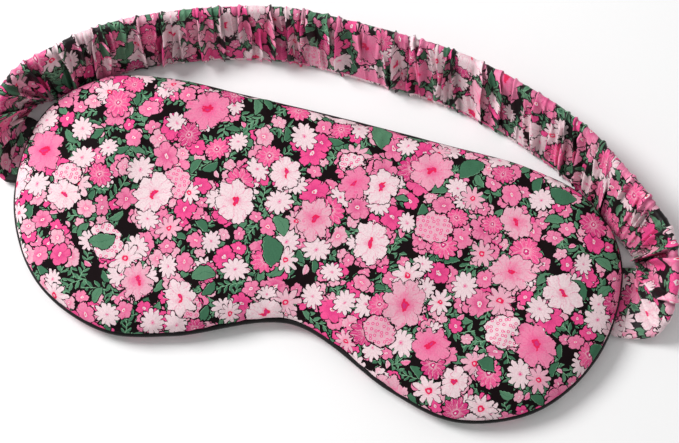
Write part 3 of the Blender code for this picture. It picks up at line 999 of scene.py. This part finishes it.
def panel(name, profile, upper, finish, settings):
    """One outer panel of the mask as a sheet of cloth, still without its thickness."""
    places, triangles = flat_pattern(RING_DEPTHS, settings.pitch, PANEL_RING)
    depth, out, around = nearest_on_edge(places)
    inwards, height, cloth = swell(profile, depth)
    lie = places + out * (depth - inwards)[:, None]
    z = SEAM_Z + height
    if upper:
        inner = smooth_step(2.0 * MM, 12 * MM, depth)
        z += settings.lumps * slow_noise(places, size=34 * MM, seed=5) * inner
        z += settings.pucker * edge_puckers(around, depth, seed=11)
        sideways = 0.5 * settings.pucker * edge_puckers(around, depth, seed=12)
        lie = lie + out * sideways[:, None]
    else:
        slot = strap_slot(places)
        under = np.minimum(z, STRAP_END_Z - STRAP_END_THICKNESS / 2 - 0.45 * MM)
        z = z + (under - z) * slot
        fade = 1 - smooth_step(6 * MM, 14 * MM, depth)
        z -= settings.pucker * edge_puckers(around, depth, seed=13) * fade * (1 - slot)
        z = np.maximum(z, 0.05 * MM)
    flat = places + out * (depth - cloth)[:, None]
    if not upper:
        triangles = [t[::-1] for t in triangles]
        flat = flat * (-1, 1) + BACK_CUT
    return add_piece(name, np.column_stack([lie, z]), triangles, finish, flat)


def relax(thing, pinned, pressure, spare, cap, frames):
    """Lets the cloth crease by itself. It swells a little, and no point moves further than cap."""
    rest = np.zeros(len(thing.data.vertices) * 3, np.float32)
    thing.data.vertices.foreach_get("co", rest)
    rest = rest.reshape(-1, 3).astype(float)
    group = thing.vertex_groups.new(name="sewn")
    group.add([int(i) for i in np.flatnonzero(pinned)], 1.0, "REPLACE")
    cloth = thing.modifiers.new("relax", "CLOTH")
    cloth.settings.vertex_group_mass = "sewn"
    cloth.settings.use_pressure = True
    cloth.settings.uniform_pressure_force = pressure
    cloth.settings.effector_weights.gravity = 0.0
    cloth.settings.shrink_min = -spare
    cloth.settings.quality = 4
    cloth.settings.tension_stiffness = 20
    cloth.settings.compression_stiffness = 20
    cloth.settings.bending_stiffness = 0.15
    cloth.settings.mass = 0.1
    cloth.point_cache.frame_start = 1
    cloth.point_cache.frame_end = frames
    for number in range(1, frames + 1):
        bpy.context.scene.frame_set(number)
    evaluated = thing.evaluated_get(bpy.context.evaluated_depsgraph_get())
    moved = np.zeros(len(evaluated.data.vertices) * 3, np.float32)
    evaluated.data.vertices.foreach_get("co", moved)
    shift = moved.reshape(-1, 3) - rest
    far = np.linalg.norm(shift, axis=1)
    shift *= np.minimum(1.0, cap / np.maximum(far, 1e-9))[:, None]
    thing.modifiers.clear()
    thing.vertex_groups.clear()
    thing.data.vertices.foreach_set("co", (rest + shift).astype(np.float32).ravel())
    thing.data.update()
    bpy.context.scene.frame_set(1)
    return thing


class SLEEPMASK_OT_face(bpy.types.Operator):
    """Builds the printed silk face that the wadding puffs up"""

    bl_idname = "sleep_mask.face"
    bl_label = "Face Panel"

    def execute(self, context):
        settings = context.scene.sleep_mask_face
        finish = bpy.data.materials["printed_silk_panel"]
        face = panel("front_panel_silk", FACE_SWELL, True, finish, settings)
        sewn = np.array([v.co.z < SEAM_Z + 1.2 * MM for v in face.data.vertices])
        relax(face, sewn, pressure=1.5, spare=0.02, cap=0.5 * MM, frames=18)
        smooth = face.modifiers.new("smooth", "SUBSURF")
        smooth.levels = smooth.render_levels = 1
        settle(face)
        give_thickness(face, settings.cloth)
        settle(face)
        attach(face, "mask")
        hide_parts("front_panel")
        return {"FINISHED"}


class SLEEPMASK_OT_back(bpy.types.Operator):
    """Builds the silk back that lies against the wearer's face"""

    bl_idname = "sleep_mask.back"
    bl_label = "Back Panel"

    def execute(self, context):
        settings = context.scene.sleep_mask_face
        finish = bpy.data.materials["printed_silk_panel"]
        back = panel("back_panel_silk", BACK_SWELL, False, finish, settings)
        give_thickness(back, settings.cloth)
        settle(back)
        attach(back, "mask")
        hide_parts("back_panel")
        return {"FINISHED"}


def filling(name, bottom, thickness, finish, pitch):
    """A layer that lies over the back at a little distance. Without a thickness it fills the face."""
    rings = [FLANGE + d * MM for d in (0.4, 1.2, 2.4, 4.0)]
    places, triangles = flat_pattern(rings, pitch, FILLING_RING)
    depth = nearest_on_edge(places)[0]
    low_slot = strap_slot(places)
    base = SEAM_Z + swell(BACK_SWELL, depth)[1]
    base = base + (np.minimum(base, 1.0 * MM) - base) * low_slot + bottom
    if thickness is None:
        top = SEAM_Z + swell(FACE_SWELL, depth)[1] - 1.0 * MM
        top = np.maximum(top, base + 0.6 * MM) + 0.12 * MM * slow_noise(places, size=5 * MM, seed=3)
        base = base + 0.05 * MM * slow_noise(places, size=5 * MM, seed=4)
    else:
        top = base + thickness
    count, ring = len(places), FILLING_RING
    vertices = np.vstack([np.column_stack([places, top]), np.column_stack([places, base])])
    faces = list(triangles) + [tuple(count + i for i in t[::-1]) for t in triangles]
    faces += [(i, count + i, count + (i + 1) % ring, (i + 1) % ring) for i in range(ring)]
    return add_piece(name, vertices, faces, finish)


class SLEEPMASK_OT_filling(bpy.types.Operator):
    """Builds the wadding and the blackout lining between the panels"""

    bl_idname = "sleep_mask.filling"
    bl_label = "Wadding and Lining"

    def execute(self, context):
        fibres = bpy.data.materials["wadding_fibres"]
        pad = filling("wadding_pad", 1.5 * MM, None, fibres, pitch=1.8 * MM)
        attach(pad, "mask")
        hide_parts("wadding")
        cotton = bpy.data.materials["black_cotton_weave"]
        lining = filling("lining_cotton", 0.6 * MM, 0.6 * MM, cotton, pitch=3.0 * MM)
        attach(lining, "mask")
        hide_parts("blackout_lining")
        return {"FINISHED"}


# How wide the bias strip's cloth is round the piping, the length of one twist of the cord, and how many
# points the piping's creased outside, its hollow and the cord's section have
BIAS_WIDTH = 8 * MM
CORD_TWIST = 5 * MM
CREASE_POINTS, HOLLOW_POINTS, CORD_POINTS = 22, 12, 18


def sweep_edge(name, section, stations, finish):
    """Sweeps a closed section round the edge. The section gives (outwards, upwards) pairs at each station."""
    line = resample(EDGE, stations, closed=True)
    out = outward(line)
    rows = [section(i / stations) for i in range(stations)]
    count = len(rows[0])
    vertices = [(*(line[i] + out[i] * a), SEAM_Z + up) for i in range(stations) for a, up in rows[i]]
    around = np.repeat(np.arange(stations) / stations * EDGE_LENGTH, count)
    across = np.tile(np.arange(count) / count * BIAS_WIDTH, stations)
    faces = [f[::-1] for f in sweep_faces(stations, count, wrap=True)]
    return add_piece(name, vertices, faces, finish, np.column_stack([around, across]))


def piping_section(share):
    """The bias strip's section at one place round the edge: a creased ring, with two flaps in the seam."""
    wall, slit = 0.3 * MM, 0.15 * MM
    far = slit + wall
    run = share * EDGE_LENGTH
    creases = []
    open_outer = math.asin(far / PIPING_RADIUS)
    for angle in np.linspace(-math.pi + open_outer, math.pi - open_outer, CREASE_POINTS):
        twist = math.sin(run / (3.1 * MM) + angle * 1.5) + 0.6 * math.sin(run / (1.7 * MM) - angle * 2 + 1.0)
        radius = PIPING_RADIUS * (1 + 0.016 * twist * math.cos(angle / 2))
        creases.append((radius * math.cos(angle), radius * math.sin(angle)))
    inner = PIPING_RADIUS - wall
    open_inner = math.asin(slit / inner)
    turns = np.linspace(math.pi - open_inner, open_inner - math.pi, HOLLOW_POINTS)
    hollow = [(inner * math.cos(a), inner * math.sin(a)) for a in turns]
    return [(-FLANGE, -far)] + creases + [(-FLANGE, far), (-FLANGE, slit)] + hollow + [(-FLANGE, -slit)]


def cord_section(share):
    """Three strands twisted together."""
    run = share * EDGE_LENGTH
    turns = round(EDGE_LENGTH / CORD_TWIST)
    points = []
    for angle in np.linspace(0, 2 * math.pi, CORD_POINTS, endpoint=False):
        lobe = abs(math.cos(1.5 * (angle - 2 * math.pi * turns * run / EDGE_LENGTH)))
        radius = CORD_DIAMETER / 2 * (0.74 + 0.26 * lobe)
        points.append((radius * math.cos(angle), radius * math.sin(angle)))
    return points


class SLEEPMASK_OT_piping(bpy.types.Operator):
    """Builds the black piping round the edge and the cord inside it"""

    bl_idname = "sleep_mask.piping"
    bl_label = "Piping"

    def execute(self, context):
        cover = sweep_edge("piping_satin", piping_section, 900, bpy.data.materials["black_satin_weave"])
        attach(cover, "mask")
        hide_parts("piping_cover")
        cord = sweep_edge("piping_cord_twist", cord_section, 1100, bpy.data.materials["cotton_cord_twist"])
        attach(cord, "mask")
        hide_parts("piping_cord")
        return {"FINISHED"}


def stitch_tree(finish):
    """Geometry nodes that lay stitches along a line: a short rounded thread, again and again."""
    tree = bpy.data.node_groups.new("stitch_row", "GeometryNodeTree")
    tree.interface.new_socket("Line", in_out="INPUT", socket_type="NodeSocketGeometry")
    for label in ("Stitch Length", "Spacing", "Thread"):
        tree.interface.new_socket(label, in_out="INPUT", socket_type=FLOAT)
    tree.interface.new_socket("Stitches", in_out="OUTPUT", socket_type="NodeSocketGeometry")
    start = tree.nodes.new("NodeGroupInput")
    end = tree.nodes.new("NodeGroupOutput")
    node = Sketch(tree).node
    curve = node("GeometryNodeMeshToCurve", {"Mesh": start.outputs["Line"]})
    spots = node(
        "GeometryNodeCurveToPoints",
        {"Curve": curve.outputs[0], "Length": start.outputs["Spacing"]},
        mode="LENGTH",
    )
    tall = node("ShaderNodeMath", {0: start.outputs["Stitch Length"], 1: 0.5}, operation="MULTIPLY")
    wide = node("ShaderNodeMath", {0: start.outputs["Thread"], 1: 0.5}, operation="MULTIPLY")
    ball = node("GeometryNodeMeshUVSphere", {"Segments": 8, "Rings": 6, "Radius": 1.0})
    size = node("ShaderNodeCombineXYZ", {"X": wide.outputs[0], "Y": wide.outputs[0], "Z": tall.outputs[0]})
    thread = node("GeometryNodeTransform", {"Geometry": ball.outputs[0], "Scale": size.outputs[0]})
    copies = node(
        "GeometryNodeInstanceOnPoints",
        {"Points": spots.outputs[0], "Instance": thread.outputs[0], "Rotation": spots.outputs["Rotation"]},
    )
    real = node("GeometryNodeRealizeInstances", {"Geometry": copies.outputs[0]})
    smooth = node("GeometryNodeSetShadeSmooth", {"Geometry": real.outputs[0]})
    coated = node("GeometryNodeSetMaterial", {"Geometry": smooth.outputs[0], "Material": finish})
    tree.links.new(coated.outputs[0], end.inputs[0])
    return tree


class SLEEPMASK_OT_stitches(bpy.types.Operator):
    """Lays the row of stitches that closes the edge, and gives the strap ends' zigzag its thread"""

    bl_idname = "sleep_mask.stitches"
    bl_label = "Stitches"

    def execute(self, context):
        settings = context.scene.sleep_mask_stitches
        finish = bpy.data.materials["black_sewing_thread"]
        low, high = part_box("seam_thread")
        height = (low.z + high.z) / 2
        inset = (PIPING_HIGH.x - PIPING_RADIUS) - (high.x - settings.thickness / 2)
        line = resample(EDGE - EDGE_OUT * inset, 600, closed=True)
        mesh = bpy.data.meshes.new("seam_stitches")
        edges = [(i, (i + 1) % len(line)) for i in range(len(line))]
        mesh.from_pydata([(x, y, height) for x, y in line], edges, [])
        row = add_object("seam_stitches", mesh)
        tree = stitch_tree(finish)
        modifier = row.modifiers.new("stitches", "NODES")
        modifier.node_group = tree
        values = {"Stitch Length": settings.length, "Spacing": settings.spacing, "Thread": settings.thickness}
        for socket in tree.interface.items_tree:
            if socket.name in values:
                modifier[socket.identifier] = values[socket.name]
        settle(row)
        if len(row.data.polygons) < 1000:
            raise RuntimeError("the seam's stitches were not made")
        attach(row, "mask")
        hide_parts("seam_thread")
        for label in ("left_end_stitches", "right_end_stitches"):
            node = frame["nodes"][label]
            node.data.materials.clear()
            node.data.materials.append(finish)
        return {"FINISHED"}


# The strap


# The random draw of each fold: its distance from the last one, its tilt across the strap, its bow on each
# side and its wriggle, its strength and its overhang
FOLD_SPACING = (0.3, 1.7)
FOLD_TILT, FOLD_BOW, FOLD_WRIGGLE = 0.75 * MM, 0.5 * MM, 0.16 * MM
FOLD_STRENGTH = (0.55, 1.15)
FOLD_OVERHANG = 0.42
# Height and width of the small folds, as shares of the main ones'
SMALL_HEIGHT, SMALL_WIDTH = 0.27, 0.75
# How much a painted highlight lightens a crest, against how much the painted shade darkens its foot
CREST_PAINTED_HIGHLIGHT = 0.45
# How much flatter the folds lie where the sleeve turns round the strap's edges
EDGE_FLATTENING = 0.78
# How high every point of the sleeve stays above the floor
SLEEVE_FLOOR = 0.25 * MM
# Where in the print the sleeve is cut from: across it, and where the left end, the gathers and the right end
# start
SLEEVE_CUT = 0.52
LEFT_START, GATHERS_START, RIGHT_START = 0.75, 0.05, 0.90


def strap_line(stations):
    """Stations along the strap: its middle, the way its width points, its normal and the way it runs."""
    corner_x, corner_y = SLEEVE_START_X, STRAP_END_Y + STRAP_WIDTH / 2
    reach = STRAP_THICKNESS / 2
    knots = [(corner_x, corner_y - reach, STRAP_END_Z, -90, 0)]
    knots += [(corner_x + x, corner_y - reach + y, reach, h, r) for x, y, h, r in RIGHT_TURN]
    knots += [(x * HALF_LENGTH, y * MASK_HEIGHT, reach, h, r) for x, y, h, r in STRAP_ROUTE]
    knots += [(-corner_x - x, corner_y - reach + y, reach, h, r) for x, y, h, r in LEFT_TURN]
    knots += [(-corner_x, corner_y - reach, STRAP_END_Z, 270, 0)]
    dense = curve_through(knots, 24, closed=False)
    heading, rise = np.radians(dense[:, 3]), np.radians(dense[:, 4])
    width = np.column_stack([np.cos(heading) * np.cos(rise), np.sin(heading) * np.cos(rise), np.sin(rise)])
    middle = dense[:, :3] + width * (STRAP_WIDTH / 2 - reach)
    even = resample(np.hstack([middle, width]), stations, closed=False)
    middle, width = even[:, :3], even[:, 3:]
    width = width / np.linalg.norm(width, axis=1)[:, None]
    along = np.gradient(middle, axis=0)
    along[0] = along[-1] = (1.0, 0.0, 0.0)
    along = along / np.linalg.norm(along, axis=1)[:, None]
    normal = np.cross(along, width)
    normal = normal / np.linalg.norm(normal, axis=1)[:, None]
    return middle, width, normal, along


def tube_section(count_flat, count_round):
    """A flattened tube's section: for each point the share along the flat, the round's cosine and sine."""
    flat = np.linspace(-1, 1, count_flat)[:-1]
    turn = np.linspace(-math.pi / 2, math.pi / 2, count_round)[:-1]
    right = [(1.0, math.cos(a), math.sin(a)) for a in turn]
    left = [(-1.0, -math.cos(a), -math.sin(a)) for a in turn]
    lower = [(x, 0.0, -1.0) for x in flat]
    upper = [(-x, 0.0, 1.0) for x in flat]
    return np.array(lower + right + upper + left)


def tuck(distance):
    """A fold's height across it: a narrow crest that rises out of a shallow dip."""
    return np.exp(-(distance**2)) - 0.30 * np.exp(-((distance / 2.8) ** 2))


def gathers(run, flat, side, length, settings):
    """The sleeve's folds: how far the cloth stands out, how far its crests lean, and the light painted into
    the print: painted shade beside each fold's foot, less a painted highlight on its crest.

    flat runs from -1 at the strap's inner edge to 1 at its outer one, and side is 1 on top, -1 underneath.
    """
    rng = np.random.default_rng(settings.seed)
    height = np.zeros(np.broadcast(run, flat).shape)
    lean = np.zeros_like(height)
    hollow = np.zeros_like(height)
    lit = np.zeros_like(height)
    bow_room = 1 - flat**2
    main, small = (settings.folds, 1.0, 1.0), (settings.small_folds, SMALL_HEIGHT, SMALL_WIDTH)
    for count, tallest, narrowest in (main, small):
        spots = np.cumsum(rng.uniform(*FOLD_SPACING, count + 1))
        spots = (spots[:-1] / spots[-1]) * length
        for spot in spots:
            tilt, bow_up, bow_down = rng.normal(0, 1, 3) * (FOLD_TILT, FOLD_BOW, FOLD_BOW)
            bow = np.where(side > 0, bow_up, bow_down)
            wriggle = FOLD_WRIGGLE * np.sin(flat * rng.uniform(3, 7) + rng.uniform(0, 6.3))
            centre = spot + tilt * flat + bow * bow_room + wriggle
            strength = rng.uniform(*FOLD_STRENGTH)
            strength = strength * (1 + 0.25 * np.sin(flat * rng.uniform(1, 3) + rng.uniform(0, 6.3)))
            reach = rng.choice((0, 0, 0, 1, -1))
            if reach:
                strength = strength * smooth_step(-0.55, 0.45, flat * reach)
            top_or_under = rng.uniform(0.7, 1.1, 2)
            strength = strength * np.where(side > 0, top_or_under[0], top_or_under[1])
            width = settings.fold_width * narrowest * rng.uniform(0.75, 1.5)
            away = (run - centre) / width
            crest = settings.fold_height * tallest * strength * tuck(away)
            overhang = rng.normal(0, FOLD_OVERHANG)
            height = height + crest
            lean = lean + crest * overhang
            # Painted shade at the foot on the side the crest leans to, and a painted highlight along the
            # crest
            beside = away - (1.5 if overhang > 0 else -1.5)
            hollow = np.maximum(hollow, tallest * strength * np.exp(-((beside / 0.9) ** 2)))
            lit = np.maximum(lit, tallest * strength * np.exp(-((away / 0.7) ** 2)))
    return height, lean, np.clip(hollow, 0.0, 1.0) - CREST_PAINTED_HIGHLIGHT * np.clip(lit, 0.0, 1.0)


def fold_noise(run, turn, seed, size):
    """Small creases between the folds, longer across the strap than along it."""
    rng = np.random.default_rng(seed)
    total = np.zeros(np.broadcast(run, turn).shape)
    for _ in range(18):
        wave = 2 * math.pi / (size * rng.uniform(0.6, 1.8))
        around = rng.integers(0, 2) * rng.choice((-1, 1))
        total = total + np.sin(run * wave + turn * around + rng.uniform(0, 6.3))
    return total / 5.0


def run_round(ring):
    """How far round a closed section each point lies, and last the whole girth."""
    steps = np.linalg.norm(np.roll(ring, -1, axis=0) - ring, axis=1)
    return np.concatenate([[0.0], np.cumsum(steps)])


def sleeve_surface(settings):
    """The gathered sleeve's points, the cloth's length up to each, its run round, and the folds' painted
    shade and highlight.
    """
    middle, width, normal, along = strap_line(settings.stations)
    steps = np.linalg.norm(np.diff(middle, axis=0), axis=1)
    run = np.concatenate([[0.0], np.cumsum(steps)])
    length = run[-1]
    section = tube_section(count_flat=17, count_round=8)
    count = len(section)
    turn = np.linspace(0, 2 * math.pi, count, endpoint=False)[None, :]
    near_end = np.minimum(run, length - run)[:, None]
    gathered = smooth_step(1.5 * MM, 11 * MM, near_end)
    thicker = (STRAP_THICKNESS - STRAP_END_THICKNESS) / 2
    thick = STRAP_END_THICKNESS / 2 + thicker * smooth_step(0, 14 * MM, near_end)
    half = STRAP_WIDTH / 2 * (1.04 - 0.05 * smooth_step(8 * MM, 30 * MM, near_end)) - thick
    flat, cos, sin = (column[None, :] for column in section.T)
    across, up = flat * half + cos * thick, sin * thick
    side = np.where(sin > 0, 1.0, -1.0)
    height, lean, hollow = gathers(run[:, None], flat, side, length, settings)
    height = height + 0.16 * MM * fold_noise(run[:, None], turn, seed=3, size=8 * MM)
    height = height * gathered + 0.12 * MM * fold_noise(run[:, None], turn, seed=5, size=9 * MM)
    at_edge = np.maximum(np.abs(cos), smooth_step(0.7, 1.0, np.abs(flat)))
    height = height * (1 - EDGE_FLATTENING * at_edge)
    lean = lean * gathered * (1 - 0.5 * at_edge)
    across = across + cos * height
    up = up + sin * height
    surface = (
        middle[:, None, :]
        + width[:, None, :] * across[:, :, None]
        + normal[:, None, :] * up[:, :, None]
        + along[:, None, :] * lean[:, :, None]
    )
    surface[:, :, 2] = np.maximum(surface[:, :, 2], SLEEVE_FLOOR)
    cloth = np.linalg.norm(np.diff(surface, axis=0), axis=2)
    cloth = np.vstack([np.zeros((1, count)), np.cumsum(cloth, axis=0)])
    cloth = np.repeat(cloth.mean(axis=1, keepdims=True), count, axis=1)
    return surface, cloth, run_round(surface[0]), hollow * gathered


def tube_mesh(name, surface, cloth, girth, hollow, finish, start):
    """A tube of cloth. The print's seam lies under it, where the section's first point is."""
    rings, count = surface.shape[:2]
    tube = add_piece(name, surface.reshape(-1, 3), sweep_faces(rings, count), finish)
    corner = corner_points(tube.data)
    ring, spot = corner // count, corner % count
    face_of = np.repeat(np.arange(len(tube.data.polygons)), 4)
    closing = (face_of % count == count - 1) & (spot == 0)
    v = np.where(closing, girth[-1], girth[spot])
    set_cloth_map(tube.data, np.column_stack([cloth[ring, spot] + start, v + SLEEVE_CUT]))
    # The folds' painted shade, with painted highlight as negative values, kept on the points for the silk's
    # colour
    depth = tube.data.attributes.new("fold_painted_light", "FLOAT", "POINT")
    depth.data.foreach_set("value", hollow.astype(np.float32).ravel())
    return tube


class SLEEPMASK_OT_sleeve(bpy.types.Operator):
    """Builds the gathered silk sleeve"""

    bl_idname = "sleep_mask.sleeve"
    bl_label = "Gathered Sleeve"

    def execute(self, context):
        settings = context.scene.sleep_mask_strap
        surface, cloth, girth, hollow = sleeve_surface(settings)
        finish = bpy.data.materials["printed_silk_gathered"]
        sleeve = tube_mesh("strap_sleeve_silk", surface, cloth, girth, hollow, finish, GATHERS_START)
        give_thickness(sleeve, SLEEVE_CLOTH)
        settle(sleeve)
        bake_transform(sleeve)
        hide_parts("strap_sleeve")
        ends = [strap_end_piece("left", -1), strap_end_piece("right", 1)]
        return {"FINISHED"}


def strap_end_piece(label, side):
    """The flat end of the sleeve, from inside the seam to where the gathers begin."""
    stations = 40
    inner = HALF_LENGTH - PIPING_RADIUS - FLANGE
    x = np.linspace(inner, SLEEVE_START_X, stations)
    section = tube_section(count_flat=22, count_round=9)
    turn = np.linspace(0, 2 * math.pi, len(section), endpoint=False)[None, :]
    free = smooth_step(HALF_LENGTH - 1.5 * MM, HALF_LENGTH + 1.5 * MM, x)[:, None]
    thick = STRAP_END_THICKNESS / 2 * (0.82 + 0.18 * free)
    half = STRAP_WIDTH / 2 * (0.985 + 0.055 * free) - thick
    flat, cos, sin = (column[None, :] for column in section.T)
    pleats = 0.10 * MM * free * np.sin(turn * 9 + 2.0) * (1 - np.abs(cos))
    across, up = flat * half + cos * thick, sin * (thick + pleats)
    run = np.broadcast_to(side * x[:, None], across.shape)
    surface = np.stack([run, STRAP_END_Y - side * across, STRAP_END_Z + up], axis=2)
    if side < 0:
        surface = surface[::-1]
    cloth = np.broadcast_to((x - x[0])[:, None], across.shape)
    cloth = cloth[::-1] if side < 0 else cloth
    girth = run_round(surface[0])
    finish = bpy.data.materials["printed_silk_gathered"]
    start = LEFT_START if side < 0 else RIGHT_START
    piece = tube_mesh(f"{label}_strap_end_silk", surface, cloth, girth, np.zeros_like(cloth), finish, start)
    give_thickness(piece, SLEEVE_CLOTH)
    settle(piece)
    start = (side * (HALF_LENGTH - 4 * MM), STRAP_END_Y, SWING_Z)
    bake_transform(piece)
    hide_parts(f"{label}_seam_tab", f"{label}_strap_end")
    return piece


class SLEEPMASK_OT_elastic(bpy.types.Operator):
    """Builds the ribbed elastic inside the sleeve"""

    bl_idname = "sleep_mask.elastic"
    bl_label = "Elastic"

    def execute(self, context):
        middle, width, normal, _ = strap_line(stations=420)
        ribs = 11
        across = np.linspace(-1, 1, ribs * 4 + 1)
        crown = ELASTIC_THICKNESS / 2 * (0.78 + 0.22 * np.abs(np.cos(across * ribs * math.pi / 2)))
        crown[0] = crown[-1] = ELASTIC_THICKNESS * 0.2
        lower, upper = list(zip(across, -crown)), list(zip(across[::-1], crown[::-1]))
        section = lower + upper
        vertices = [
            middle[i] + width[i] * (a * ELASTIC_WIDTH / 2) + normal[i] * up
            for i in range(len(middle))
            for a, up in section
        ]
        faces = sweep_faces(len(middle), len(section), closed_ends=True)
        band = add_piece("strap_elastic_band", vertices, faces, bpy.data.materials["white_woven_elastic"])
        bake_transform(band)
        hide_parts("strap_elastic")
        return {"FINISHED"}


# The stage


FLOOR_HALF, FLOOR_Z = 3.0, -0.2 * MM
KEY_PLACE, KEY_SIZE = (-0.82, 0.18, 0.78), 0.50
CAMERA_PLACE = (0.0666, -0.2270, 0.8316)
# The camera's lean from straight down, and its turn, in degrees
CAMERA_LEAN, CAMERA_TURN = 16.0, 14.68


def area_light(name, place, size, power):
    """A round soft light that points at the middle of the mask."""
    lamp = bpy.data.lights.new(name, "AREA")
    lamp.shape = "DISK"
    lamp.size = size
    lamp.energy = power
    thing = add_object(name, lamp)
    thing.location = place
    thing.rotation_euler = (-Vector(place)).to_track_quat("-Z", "Y").to_euler()


class SLEEPMASK_OT_stage(bpy.types.Operator):
    """Sets up the pale floor, the soft lights and the camera"""

    bl_idname = "sleep_mask.stage"
    bl_label = "Stage"

    def execute(self, context):
        scene = context.scene
        settings = scene.sleep_mask_stage
        corners = [(FLOOR_HALF * x, FLOOR_HALF * y, FLOOR_Z) for x, y in ((-1, -1), (1, -1), (1, 1), (-1, 1))]
        paper, shader, _ = start_material("studio_paper", 0.9, 0.1)
        shader.inputs["Base Color"].default_value = (0.98, 0.98, 0.98, 1.0)
        floor = add_piece("studio_floor", corners, [(0, 1, 2, 3)], paper)
        world = bpy.data.worlds.new("studio")
        world.use_nodes = True
        sky = world.node_tree.nodes["Background"]
        sky.inputs["Color"].default_value = (1.0, 1.0, 1.0, 1.0)
        sky.inputs["Strength"].default_value = settings.fill
        scene.world = world
        area_light("key_light", KEY_PLACE, KEY_SIZE, settings.key_power)
        camera_data = bpy.data.cameras.new("camera")
        camera_data.lens = settings.lens
        camera_data.sensor_width = 36.0
        camera_data.clip_start = 0.01
        camera = add_object("camera", camera_data)
        camera.location = CAMERA_PLACE
        camera.rotation_euler = (math.radians(CAMERA_LEAN), 0.0, math.radians(CAMERA_TURN))
        scene.camera = camera
        scene.view_settings.view_transform = "Standard"
        return {"FINISHED"}


class SLEEPMASK_PT_panel(bpy.types.Panel):
    """Lists the mask's settings and the buttons that build its pieces"""

    bl_label = "Sleep Mask"
    bl_idname = "SLEEPMASK_PT_panel"
    bl_space_type = "VIEW_3D"
    bl_region_type = "UI"
    bl_category = "Sleep Mask"

    def draw(self, context):
        layout = self.layout
        for group, name in SETTINGS:
            box = layout.box()
            box.label(text=name.replace("sleep_mask_", "").capitalize())
            for label in group.__annotations__:
                box.prop(getattr(context.scene, name), label)
        for operator in OPERATORS:
            layout.operator(operator.bl_idname)


SETTINGS = (
    (PrintSettings, "sleep_mask_print"),
    (FaceSettings, "sleep_mask_face"),
    (StrapSettings, "sleep_mask_strap"),
    (StitchSettings, "sleep_mask_stitches"),
    (StageSettings, "sleep_mask_stage"),
)
OPERATORS = (
    SLEEPMASK_OT_materials,
    SLEEPMASK_OT_filling,
    SLEEPMASK_OT_face,
    SLEEPMASK_OT_back,
    SLEEPMASK_OT_piping,
    SLEEPMASK_OT_stitches,
    SLEEPMASK_OT_elastic,
    SLEEPMASK_OT_sleeve,
    SLEEPMASK_OT_stage,
)


def register():
    for group, name in SETTINGS:
        bpy.utils.register_class(group)
        setattr(bpy.types.Scene, name, PointerProperty(type=group))
    for operator in OPERATORS:
        bpy.utils.register_class(operator)
    bpy.utils.register_class(SLEEPMASK_PT_panel)


def unregister():
    bpy.utils.unregister_class(SLEEPMASK_PT_panel)
    for operator in reversed(OPERATORS):
        bpy.utils.unregister_class(operator)
    for group, name in reversed(SETTINGS):
        delattr(bpy.types.Scene, name)
        bpy.utils.unregister_class(group)


def main():
    register()
    for operator in OPERATORS:
        area, name = operator.bl_idname.split(".")
        getattr(getattr(bpy.ops, area), name)()
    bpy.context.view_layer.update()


if __name__ == "__main__":
    main()
